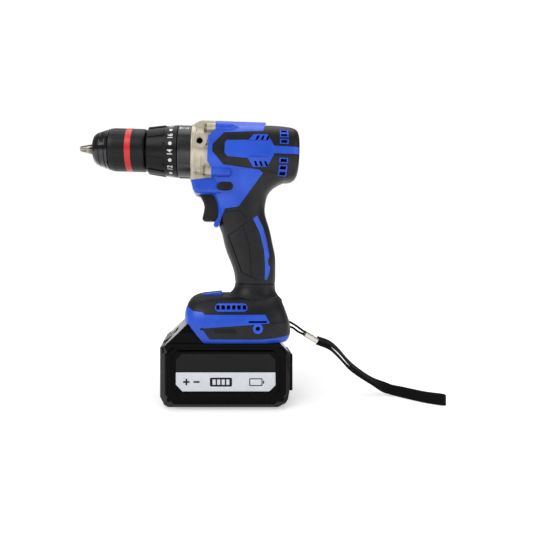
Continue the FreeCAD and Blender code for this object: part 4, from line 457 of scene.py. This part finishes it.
def coated_board():
    """Epoxy board under green lacquer."""
    material, tree, shader, place, rounded = start_finish("lacquered circuit board", "#145A34", 0.35)
    tone(tree, shader, place, "#0F4A2A", "#1B6B3F", 0.003)
    return material


def clear_lens():
    """Clear polycarbonate lens over a warm white lamp."""
    material, tree, shader, place, rounded = start_finish("clear polycarbonate", "#EFE6D2", 0.12)
    shader.inputs["Transmission Weight"].default_value = 0.75
    shader.inputs["IOR"].default_value = 1.58
    grain(tree, shader, place, rounded, 0.0009, 0.00005)
    return material


def plated_sleeve():
    """Nickel-plated brass, crimped flat: bright with a few soft dents."""
    material, tree, shader, place, rounded = start_finish("nickel-plated brass", "#D5CFC6", 0.27, 0.95)
    grain(tree, shader, place, rounded, 0.003, 0.00012)
    return material


def woven_nylon():
    """Black nylon weave. Threads are 0.5 mm apart, on the strap's own map."""
    material, tree, shader, place, rounded = start_finish("woven black nylon", "#050506", 0.8)
    shader.inputs["Specular IOR Level"].default_value = 0.12
    shader.inputs["Sheen Weight"].default_value = 0.06
    uv = add(tree, "ShaderNodeUVMap", uv_map="along").outputs[0]
    threads = add(tree, "ShaderNodeTexWave", {"Vector": uv, "Scale": 1.0 / 0.0022, "Distortion": 0.0},
                  wave_type="BANDS", bands_direction="DIAGONAL")
    cross = add(tree, "ShaderNodeTexWave", {"Vector": uv, "Scale": 1.0 / 0.0020, "Distortion": 0.0},
                wave_type="BANDS", bands_direction="X")
    both = add(tree, "ShaderNodeMath", {0: threads.outputs["Fac"], 1: cross.outputs["Fac"]},
               operation="MULTIPLY")
    bump = add(tree, "ShaderNodeBump", {"Height": both.outputs[0], "Normal": rounded, "Distance": 0.0002})
    tree.links.new(bump.outputs[0], shader.inputs["Normal"])
    return material


# %% Dress the CAD nodes
FINISHES = {
    blue_abs: ["left_shell", "right_shell", "lamp_bezel"],
    black_tpe: ["left_grip_overmould", "right_grip_overmould", "left_foot_overmould", "right_foot_overmould",
                "foot_bumpers", "direction_button", "trigger", "battery_gauge_button"],
    black_nylon: ["torque_collar", "speed_selector", "trigger_switch", "terminal_block", "motor_fan"],
    ribbed_nylon: ["mode_ring"],
    pack_nylon: ["battery_lower_case", "battery_upper_case", "battery_release_button", "battery_gauge_panel"],
    painted_casting: ["gear_case"],
    blued_steel: ["chuck_body", "chuck_rear_cover", "chuck_jaw_nut", "chuck_screw"],
    jaw_steel: ["chuck_jaw_1", "chuck_jaw_2", "chuck_jaw_3"],
    ground_steel: ["spindle", "input_carrier", "clutch_ring_gear", "sliding_ring_gear",
                   "shaft_bearings", "motor_rotor", "motor_pinion", "motor_stator",
                   "motor_plate", "battery_cells", "clutch_spring", "trigger_spring"]
    + [f"{stage}_planet_{k}" for stage in ("input", "output") for k in (1, 2, 3)],
    zinc_steel: ["gear_case_screws", "shell_screws", "strap_pin"],
    red_band_plastic: ["chuck_sleeve_band"],
    sleeve_rubber: ["chuck_sleeve"],
    enamelled_copper: ["motor_windings"],
    coated_board: ["control_board", "battery_board"],
    clear_lens: ["lamp_lens"],
    plated_sleeve: ["strap_ferrule"],
}
made = {}
for finish, names in FINISHES.items():
    made[finish] = finish()
    for name in names:
        mesh = nodes[name].data
        mesh.materials.clear()
        mesh.materials.append(made[finish])
weave = woven_nylon()
strap_cord_piece.data.materials.append(weave)
strap_web_piece.data.materials.append(weave)
bare = [name for name in nodes if name not in sum(FINISHES.values(), []) + ["strap_cord", "strap_webbing"]]
print("nodes without a finish:", bare)

# %% [markdown]
# ## Places on the drill
# The head of the drill tips up by 1.7 degrees, so everything round the spindle is placed
# in the head's own frame: x along the spindle, and an angle round it, where 180 degrees
# faces the camera and 90 is the top. Marks on the flat sides are dropped onto the surface
# with a ray, so they follow each moulding's own curve.

# %% Places
TILT = math.radians(1.7)
AXIS_HEIGHT = 0.22215
along_head = Vector((math.cos(TILT), 0.0, -math.sin(TILT)))
up_head = Vector((math.sin(TILT), 0.0, math.cos(TILT)))
head_origin = Vector((SHIFT, 0.0, AXIS_HEIGHT))


def head_point(x, y, z):
    """A point in the head's frame, in millimetres, as a place in the scene."""
    return head_origin + along_head * (x / 1000) + Vector((0, y / 1000, 0)) + up_head * (z / 1000)


def ring_point(x, angle, radius):
    return head_point(x, radius * math.cos(angle), radius * math.sin(angle))


def plain_mesh(name, vertices, faces, material):
    mesh = bpy.data.meshes.new(name)
    mesh.from_pydata(vertices, [], faces)
    mesh.materials.append(material)
    return mesh


def from_nodes(name, tree, values, base=None):
    """Runs a Geometry Nodes tree on a base mesh and returns the plain mesh it makes."""
    holder = bpy.data.objects.new(name, base or bpy.data.meshes.new(name + "_base"))
    bpy.context.scene.collection.objects.link(holder)
    modifier = holder.modifiers.new("nodes", "NODES")
    modifier.node_group = tree
    for item in tree.interface.items_tree:
        if item.in_out == "INPUT" and item.name in values:
            modifier[item.identifier] = values[item.name]
    bpy.context.view_layer.update()
    mesh = bpy.data.meshes.new_from_object(holder.evaluated_get(bpy.context.evaluated_depsgraph_get()))
    bpy.data.objects.remove(holder)
    mesh.name = name
    return mesh


def new_tree(name, sockets):
    """A Geometry Nodes tree with named inputs. Returns (tree, group input, group output)."""
    tree = bpy.data.node_groups.new(name, "GeometryNodeTree")
    tree.interface.new_socket("Geometry", in_out="INPUT", socket_type="NodeSocketGeometry")
    for label, kind in sockets:
        tree.interface.new_socket(label, in_out="INPUT", socket_type=kind)
    tree.interface.new_socket("Geometry", in_out="OUTPUT", socket_type="NodeSocketGeometry")
    return tree, tree.nodes.new("NodeGroupInput"), tree.nodes.new("NodeGroupOutput")


# %% [markdown]
# ## Pad-printed marks
# The dial's numbers are printed by a soft pad that wraps the ink round the cone. Each
# number starts as a flat text, becomes a mesh, and is then rolled onto the cone a tenth of
# a millimetre proud. The dots between them repeat evenly, so a small tree of nodes makes
# them: a circle of points, a disc on each, turned to face outward.

# %% Ink


def pad_ink():
    """White pad-printing ink: matte, thin, with a slightly uneven edge of tone."""
    material, tree, shader, place, rounded = start_finish(
        "white pad-print ink", "#F2F2EE", 0.55, edge=0.00005)
    tone(tree, shader, place, "#E2E2DE", "#FAFAF7", 0.0012)
    return material


white_ink = pad_ink()

# %% Dial numbers
COLLAR_FRONT, COLLAR_REAR = -38.0, -10.2
COLLAR_RADII = (20.4, 23.7)
NUMBER_ROW = -16.3          # where the row of numbers stands along the spindle
FIRST_NUMBER = 192          # where the first number stands round it, in degrees
NUMBER_STEP = 36            # from one number to the next, in degrees
DIGIT_SCALE = (5.5, 6.4)    # width and height that a unit of type takes, in millimetres


def collar_radius(x):
    share = (x - COLLAR_FRONT) / (COLLAR_REAR - COLLAR_FRONT)
    return COLLAR_RADII[0] + (COLLAR_RADII[1] - COLLAR_RADII[0]) * share


def flat_text(words):
    data = bpy.data.curves.new("type", "FONT")
    data.body = words
    data.align_x, data.align_y = "CENTER", "CENTER"
    data.offset = 0.022
    data.resolution_u = 4
    holder = bpy.data.objects.new("type", data)
    bpy.context.scene.collection.objects.link(holder)
    bpy.context.view_layer.update()
    mesh = bpy.data.meshes.new_from_object(holder.evaluated_get(bpy.context.evaluated_depsgraph_get()))
    bpy.data.objects.remove(holder)
    points = [v.co.copy() for v in mesh.vertices]
    middle = (max(p.y for p in points) + min(p.y for p in points)) / 2
    centre = (max(p.x for p in points) + min(p.x for p in points)) / 2
    return [(p.x - centre, p.y - middle) for p in points], [tuple(f.vertices) for f in mesh.polygons]


vertices, faces = [], []
for step, number in enumerate((14, 12, 10, 8, 6, 4, 2, 20, 18, 16)):
    centre = math.radians(FIRST_NUMBER + NUMBER_STEP * step)
    flat, polygons = flat_text(str(number))
    first = len(vertices)
    for u, v in flat:
        x = NUMBER_ROW - v * DIGIT_SCALE[1]
        radius = collar_radius(x) + 0.12
        vertices.append(ring_point(x, centre - u * DIGIT_SCALE[0] / radius, radius))
    faces += [tuple(first + i for i in polygon) for polygon in polygons]
numbers_mesh = plain_mesh("dial_numbers", vertices, faces, white_ink)
dial_numbers = new_piece("dial_numbers", numbers_mesh, "torque_collar")
print("dial numbers:", len(faces), "faces")

# %% Dial dots
dots_tree, given, result = new_tree("dial_dots", [
    ("Dots", "NodeSocketInt"), ("Ring Radius", "NodeSocketFloat"), ("Dot Radius", "NodeSocketFloat"),
    ("Thickness", "NodeSocketFloat"), ("Ink", "NodeSocketMaterial")])
circle_points = add(dots_tree, "GeometryNodeMeshCircle", {
    "Vertices": given.outputs["Dots"], "Radius": given.outputs["Ring Radius"]})
dot = add(dots_tree, "GeometryNodeMeshCylinder", {
    "Vertices": 20, "Radius": given.outputs["Dot Radius"], "Depth": given.outputs["Thickness"]})
where = add(dots_tree, "GeometryNodeInputPosition")
facing = add(dots_tree, "FunctionNodeAlignRotationToVector", {"Vector": where.outputs[0]}, axis="Z")
placed = add(dots_tree, "GeometryNodeInstanceOnPoints", {
    "Points": circle_points.outputs["Mesh"], "Instance": dot.outputs["Mesh"], "Rotation": facing.outputs[0]})
real = add(dots_tree, "GeometryNodeRealizeInstances", {0: placed.outputs["Instances"]})
inked = add(dots_tree, "GeometryNodeSetMaterial", {
    "Geometry": real.outputs[0], "Material": given.outputs["Ink"]})
dots_tree.links.new(inked.outputs[0], result.inputs[0])

DOT_ROW = -16.0
dots_mesh = from_nodes("dial_dots", dots_tree, {
    "Dots": 10, "Ring Radius": collar_radius(DOT_ROW) / 1000, "Dot Radius": 0.00160,
    "Thickness": 0.00030, "Ink": white_ink})
turn_into_head = Matrix((
    (along_head.x, 0.0, up_head.x, 0.0), (0.0, 1.0, 0.0, 0.0),
    (along_head.z, 0.0, up_head.z, 0.0), (0.0, 0.0, 0.0, 1.0)))
flat_to_ring = Matrix(((0, 0, 1, 0), (1, 0, 0, 0), (0, 1, 0, 0), (0, 0, 0, 1)))
dots_mesh.transform(Matrix.Translation(head_point(DOT_ROW, 0, 0)) @ turn_into_head
                    @ Matrix.Rotation(math.radians(FIRST_NUMBER + NUMBER_STEP / 2), 4, "X") @ flat_to_ring)
dial_dots = new_piece("dial_dots", dots_mesh, "torque_collar")
print("dial dots:", len(dots_mesh.polygons), "faces")

# %% Mode signs
MODE_RADIUS = 23.6
SIGN_ROW = -4.4             # where the row of signs stands along the spindle
FIRST_SIGN, SIGN_STEP = 131, 30


def sign(polygons, x, angle):
    """Rolls flat polygons (u round the ring, v towards the chuck, in mm) onto the mode ring."""
    for polygon in polygons:
        first = len(sign_vertices)
        for u, v in polygon:
            sign_vertices.append(ring_point(x - v, math.radians(angle) - u / MODE_RADIUS, MODE_RADIUS + 0.1))
        sign_faces.append(tuple(range(first, first + len(polygon))))


hammer = [[(-1.7, 2.9), (1.3, 2.9), (1.3, 4.1), (-1.7, 4.1)],
          [(-0.5, 0.5), (0.5, 0.5), (0.5, 2.9), (-0.5, 2.9)]]
bit = [[(-0.5, -2.4), (0.5, -2.4), (0.5, -0.9), (0.0, -0.2), (-0.5, -0.9)],
       [(-1.2, -3.9), (1.2, -3.9), (1.2, -2.7), (-1.2, -2.7)]]
screw = [[(-1.3, -2.0), (1.3, -2.0), (0.5, -1.2), (-0.5, -1.2)], [(-0.35, -1.2), (0.35, -1.2), (0.0, 2.2)]]
sign_vertices, sign_faces = [], []
for step, picture in enumerate((hammer + bit, bit, screw)):
    sign(picture, SIGN_ROW, FIRST_SIGN - SIGN_STEP * step)
signs_mesh = plain_mesh("mode_signs", sign_vertices, sign_faces, white_ink)
mode_signs = new_piece("mode_signs", signs_mesh, "mode_ring")

# %% [markdown]
# ## The battery's label and frame
# The pack's side is a deep frame round a stuck-on label. The label is left without words:
# a dark upper half, a white lower half, and three plain signs. It is cut a little smaller
# than its recess, as a real one is, so a dark line shows all round.

# %% Label
LABEL = [(-10.0, 21.0), (-4.6, 15.2), (68.6, 15.2), (73.8, 20.4), (73.8, 42.4), (68.8, 47.3),
         (-5.0, 47.3), (-10.0, 42.2)]
LABEL_SPLIT = 31.4          # height where the white half meets the dark half
LABEL_FACE = 36.70          # depth of the recess's floor from the middle


def film(name, colour, drift, rough):
    """Printed polypropylene film: smooth, with a very faint unevenness from its glue."""
    material, tree, shader, place, rounded = start_finish(name, colour, rough, edge=0.00005)
    tone(tree, shader, place, colour, drift, 0.008)
    shader.inputs["Specular IOR Level"].default_value = 0.2
    grain(tree, shader, place, rounded, 0.006, 0.00002)
    return material


white_film = film("white label film", "#E9ECF4", "#F1F3F9", 0.42)
black_film = film("black label film", "#070809", "#0B0C0D", 0.3)


def clipped(outline, low, high):
    """The part of a convex outline that lies between two heights."""
    for sign_of, level in ((1, low), (-1, high)):
        kept = []
        for (x0, z0), (x1, z1) in zip(outline, outline[1:] + outline[:1]):
            inside0, inside1 = (z0 - level) * sign_of >= 0, (z1 - level) * sign_of >= 0
            if inside0:
                kept.append((x0, z0))
            if inside0 != inside1:
                share = (level - z0) / (z1 - z0)
                kept.append((x0 + (x1 - x0) * share, level))
        outline = kept
    return outline


def shrunk(outline, by):
    """An outline drawn in towards its middle by a few tenths of a millimetre."""
    cx = (min(x for x, z in outline) + max(x for x, z in outline)) / 2
    cz = (min(z for x, z in outline) + max(z for x, z in outline)) / 2
    wide = max(x for x, z in outline) - cx
    high = max(z for x, z in outline) - cz
    return [(cx + (x - cx) * (1 - by / wide), cz + (z - cz) * (1 - by / high)) for x, z in outline]


def round_box(cx, cz, width, height, radius, steps=5):
    points = []
    for sx, sz, start in ((1, -1, -90), (1, 1, 0), (-1, 1, 90), (-1, -1, 180)):
        for i in range(steps + 1):
            a = math.radians(start + 90 * i / steps)
            points.append((cx + sx * (width / 2 - radius) + radius * math.cos(a),
                           cz + sz * (height / 2 - radius) + radius * math.sin(a)))
    return points


def on_pack(outline, depth, side):
    """An outline on the pack's side, wound so that it faces outward."""
    points = [Vector((x / 1000 + SHIFT, side * depth / 1000, z / 1000)) for x, z in outline]
    return points if side < 0 else points[::-1]


def side_polygons(name, outlines, depth, material, body):
    vertices, faces = [], []
    for side in (-1, 1):
        for outline in outlines:
            first = len(vertices)
            vertices += on_pack(outline, depth, side)
            faces.append(tuple(range(first, len(vertices))))
    return new_piece(name, plain_mesh(name, vertices, faces, material), body)


label = shrunk(LABEL, 0.5)
side_polygons("label_white", [clipped(label, 0, LABEL_SPLIT)], LABEL_FACE + 0.12, white_film, "battery")
side_polygons("label_black", [clipped(label, LABEL_SPLIT, 99)], LABEL_FACE + 0.12, black_film, "battery")
SIGN_HEIGHT = 23.4
frame_sign = [round_box(28.0, SIGN_HEIGHT, 18.4, 7.4, 1.2)]
plus_minus = [
    [(-3.4, 22.8), (2.0, 22.8), (2.0, 24.2), (-3.4, 24.2)],
    [(-1.4, 20.8), (0.0, 20.8), (0.0, 22.8), (-1.4, 22.8)],
    [(-1.4, 24.2), (0.0, 24.2), (0.0, 26.2), (-1.4, 26.2)],
    [(5.2, 22.8), (10.2, 22.8), (10.2, 24.2), (5.2, 24.2)],
]
cell_sign = [round_box(57.0, SIGN_HEIGHT, 11.0, 6.4, 1.0),
             [(62.9, 22.2), (63.9, 22.2), (63.9, 24.6), (62.9, 24.6)]]
dark_signs = frame_sign + plus_minus + cell_sign
side_polygons("label_dark_signs", dark_signs, LABEL_FACE + 0.20, black_film, "battery")
bars = [[(x, 21.2), (x + 2.6, 21.2), (x + 2.6, 25.6), (x, 25.6)] for x in (21.0, 24.8, 28.6, 32.4)]
cell_hole = [round_box(57.0, SIGN_HEIGHT, 9.4, 4.8, 0.6)]
side_polygons("label_light_signs", bars + cell_hole, LABEL_FACE + 0.28, white_film, "battery")

# %% Frame of the pack's side
FRAME_OUTER = [(-11.6, 4.2), (72.8, 4.2), (83.0, 13.4), (83.0, 47.2), (77.2, 53.2), (-11.2, 53.2),
               (-19.0, 46.2), (-19.0, 12.6)]
FRAME_INNER = shrunk(LABEL, -2.4)
FRAME_INNER = FRAME_INNER[1:] + FRAME_INNER[:1]     # so that both outlines start at one corner
PACK_SIDE = 37.5


def side_frame(side):
    """A raised frame with sloping inner and outer edges, for one side of the pack."""
    rings = [(FRAME_OUTER, PACK_SIDE - 0.5), (shrunk(FRAME_OUTER, 0.9), PACK_SIDE + 0.75),
             (shrunk(FRAME_INNER, -0.9), PACK_SIDE + 0.75), (FRAME_INNER, PACK_SIDE - 0.4)]
    vertices, faces = [], []
    for outline, depth in rings:
        vertices += [Vector((x / 1000 + SHIFT, side * depth / 1000, z / 1000)) for x, z in outline]
    count = len(FRAME_OUTER)
    for ring in range(len(rings) - 1):
        for i in range(count):
            j = (i + 1) % count
            face = (ring * count + i, ring * count + j, (ring + 1) * count + j, (ring + 1) * count + i)
            faces.append(face if side < 0 else face[::-1])
    return vertices, faces


vertices, faces = [], []
for side in (-1, 1):
    points, polygons = side_frame(side)
    faces += [tuple(len(vertices) + i for i in polygon) for polygon in polygons]
    vertices += points
frame_mesh = plain_mesh("pack_side_frame", vertices, faces, made[pack_nylon])
new_piece("pack_side_frame", frame_mesh, "battery")
print("battery frame:", len(faces), "faces")

# %% [markdown]
# ## Rings on the screw bosses
# Each casting boss is turned with a few fine rings, where its screw goes into the shell.
# They are the same ring again and again, so a tree of nodes sets them: one point at each
# boss, three steps along the screw, and a ring on each.

# %% Boss rings
rings_tree, given, result = new_tree("boss_rings", [
    ("Rings", "NodeSocketInt"), ("Step", "NodeSocketFloat"), ("Ring Radius", "NodeSocketFloat"),
    ("Wire Radius", "NodeSocketFloat"), ("Finish", "NodeSocketMaterial")])
reach = add(rings_tree, "ShaderNodeCombineXYZ", {"Z": given.outputs["Step"]})
row = add(rings_tree, "GeometryNodeMeshLine", {"Count": given.outputs["Rings"], "Offset": reach.outputs[0]})
big = add(rings_tree, "GeometryNodeCurvePrimitiveCircle", {
    "Resolution": 32, "Radius": given.outputs["Ring Radius"]})
small = add(rings_tree, "GeometryNodeCurvePrimitiveCircle", {
    "Resolution": 8, "Radius": given.outputs["Wire Radius"]})
ring = add(rings_tree, "GeometryNodeCurveToMesh", {
    "Curve": big.outputs["Curve"], "Profile Curve": small.outputs["Curve"]})
stack = add(rings_tree, "GeometryNodeInstanceOnPoints", {
    "Points": row.outputs["Mesh"], "Instance": ring.outputs[0]})
solid = add(rings_tree, "GeometryNodeRealizeInstances", {0: stack.outputs["Instances"]})
every = add(rings_tree, "GeometryNodeInstanceOnPoints", {
    "Points": given.outputs["Geometry"], "Instance": solid.outputs[0]})
real = add(rings_tree, "GeometryNodeRealizeInstances", {0: every.outputs["Instances"]})
done = add(rings_tree, "GeometryNodeSetMaterial", {
    "Geometry": real.outputs[0], "Material": given.outputs["Finish"]})
rings_tree.links.new(done.outputs[0], result.inputs[0])

BOSS_Y, BOSS_HIGH, BOSS_LOW = 20.5, 17.8, -20.6
for name, start, height in (("upper_boss_rings", 16.8, BOSS_HIGH), ("lower_boss_rings", 15.2, BOSS_LOW)):
    base = bpy.data.meshes.new("bosses")
    base.from_pydata([(side * BOSS_Y / 1000, height / 1000, start / 1000) for side in (-1, 1)], [], [])
    mesh = from_nodes(name, rings_tree, {
        "Rings": 4, "Step": 0.00125, "Ring Radius": 0.00392, "Wire Radius": 0.00030,
        "Finish": made[painted_casting]}, base)
    mesh.transform(Matrix.Translation(head_origin) @ turn_into_head @ flat_to_ring)
    for polygon in mesh.polygons:
        polygon.use_smooth = True
    new_piece(name, mesh, "housing")
    print(name, len(mesh.polygons), "faces")

# %% Side-handle holes
HANDLE_X, HANDLE_Z = 9.7, 4.8       # centre of the side-handle holes, in the head's frame
for side, name in ((-1, "left_handle_thread"), (1, "right_handle_thread")):
    base = bpy.data.meshes.new("hole")
    base.from_pydata([(0, 0, 0)], [], [])
    mesh = from_nodes(name, rings_tree, {
        "Rings": 4, "Step": 0.0009, "Ring Radius": 0.00278, "Wire Radius": 0.00024,
        "Finish": made[zinc_steel]}, base)
    # The rings' own axis is turned to point outward, across the drill.
    mesh.transform(Matrix.Translation(head_point(HANDLE_X, side * 22.8, HANDLE_Z))
                   @ Matrix.Rotation(math.radians(-90 * side), 4, "X"))
    new_piece(name, mesh, "housing")


# %% [markdown]
# ## Fine lines and small inlays
# Parting lines on the casting, the blank plate on the lower foot panel and its small nub
# are dropped onto the surfaces along the camera's line of sight, one ray for each point.

# %% Inlays


def drop_on(names, x, z, side):
    """How far from the middle the surface of these nodes lies, beside the point (x, z) in mm."""
    start = Vector((x / 1000 + SHIFT, side * 0.2, z / 1000))
    best = None
    for name in names:
        hit, place, normal, index = nodes[name].ray_cast(start, Vector((0, -side, 0)))
        if hit and (best is None or abs(place.y) > abs(best.y)):
            best = place
    return best


def inlay(name, strips, nodes_under, proud, material, body, both=True):
    """Strips of (x, z) pairs, as rails of a ribbon, dropped onto the surface of nodes."""
    vertices, faces = [], []
    for side in ((-1, 1) if both else (-1,)):
        for strip in strips:
            first = len(vertices)
            placed_points = [drop_on(nodes_under, x, z, side) for pair in strip for x, z in pair]
            if any(p is None for p in placed_points):
                continue
            vertices += [p + Vector((0, side * proud / 1000, 0)) for p in placed_points]
            for i in range(len(strip) - 1):
                faces.append((first + 2 * i, first + 2 * i + 1, first + 2 * i + 3, first + 2 * i + 2))
    mesh = plain_mesh(name, vertices, faces, material)
    print(name, len(faces), "faces")
    return new_piece(name, mesh, body)


def ribbon(points, width, steps=8):
    """Pairs of rail points along straight runs between points, in mm."""
    pairs = []
    for (x0, z0), (x1, z1) in zip(points, points[1:]):
        length = math.hypot(x1 - x0, z1 - z0)
        nx, nz = (z0 - z1) / length * width / 2, (x1 - x0) / length * width / 2
        for i in range(steps + 1):
            x, z = x0 + (x1 - x0) * i / steps, z0 + (z1 - z0) * i / steps
            pairs.append(((x + nx, z + nz), (x - nx, z - nz)))
    return pairs


def seam_shadow():
    """The dark bottom of a fine groove in the paint."""
    material, tree, shader, place, rounded = start_finish(
        "shadowed groove in paint", "#6E6757", 0.7, edge=0.00005)
    tone(tree, shader, place, "#5E584A", "#7F7766", 0.002)
    return material


groove = seam_shadow()
CASE_LINES = [
    [(11.0, 214.2), (10.6, 200.2)], [(4.0, 200.6), (10.6, 200.2)], [(10.6, 205.6), (16.2, 205.2)],
    [(8.0, 240.6), (17.0, 240.2)],
]
inlay("casting_lines", [ribbon(line, 0.34) for line in CASE_LINES], ["gear_case"], 0.04, groove, "housing")
PLATE = [((21.6, 66.6), (22.8, 63.4)), ((30.0, 66.8), (30.6, 63.2)), ((40.2, 66.8), (41.6, 63.0))]
inlay("blank_plate", [PLATE], ["foot_bumpers"], 0.12, made[black_nylon], "housing")
inlay("foot_nub", [ribbon([(10.6, 66.0), (12.6, 66.8)], 1.5, 3)], ["left_shell", "foot_bumpers"], 0.5,
      made[black_nylon], "housing", both=False)

# %% Dark depths: painted shade


def hollow_dark():
    """Painted shade: a near-black matte sheet at the bottom of a slot or hole, standing in for the shade
    there.
    """
    material, tree, shader, place, rounded = start_finish("painted shade in hollows", "#050505", 0.9, edge=0.00005)
    shader.inputs["Specular IOR Level"].default_value = 0.05
    tone(tree, shader, place, "#030303", "#080808", 0.002)
    return material


HOOK_X, HOOK_Z, HOOK_SLOT_Z = 59.1, 66.8, 72.4
# Painted shade: near-black sheets laid over the floors of the belt hook's slot and hole.
dark = hollow_dark()
slot = round_box(HOOK_X, HOOK_SLOT_Z, 15.7, 1.5, 0.7)
side_polygons("belt_hook_slot_painted_shade", [slot], 29.5, dark, "housing")
hook_hole_shade_outline = [(HOOK_X + 1.8 * math.cos(a), HOOK_Z + 1.8 * math.sin(a))
              for a in (math.pi * i / 12 for i in range(24))]
side_polygons("belt_hook_hole_painted_shade", [hook_hole_shade_outline], 28.6, dark, "housing")
# Painted shade: a near-black disc deep in each side-handle hole.
vertices, faces = [], []
for side in (-1, 1):
    first = len(vertices)
    ring = [head_point(HANDLE_X + 2.85 * math.cos(a), side * 24.2, HANDLE_Z + 2.85 * math.sin(a))
            for a in (math.pi * i / 12 for i in range(24))]
    vertices += ring if side < 0 else ring[::-1]
    faces.append(tuple(range(first, first + 24)))
new_piece("handle_hole_painted_shade", plain_mesh("handle_hole_painted_shade", vertices, faces, dark), "housing")
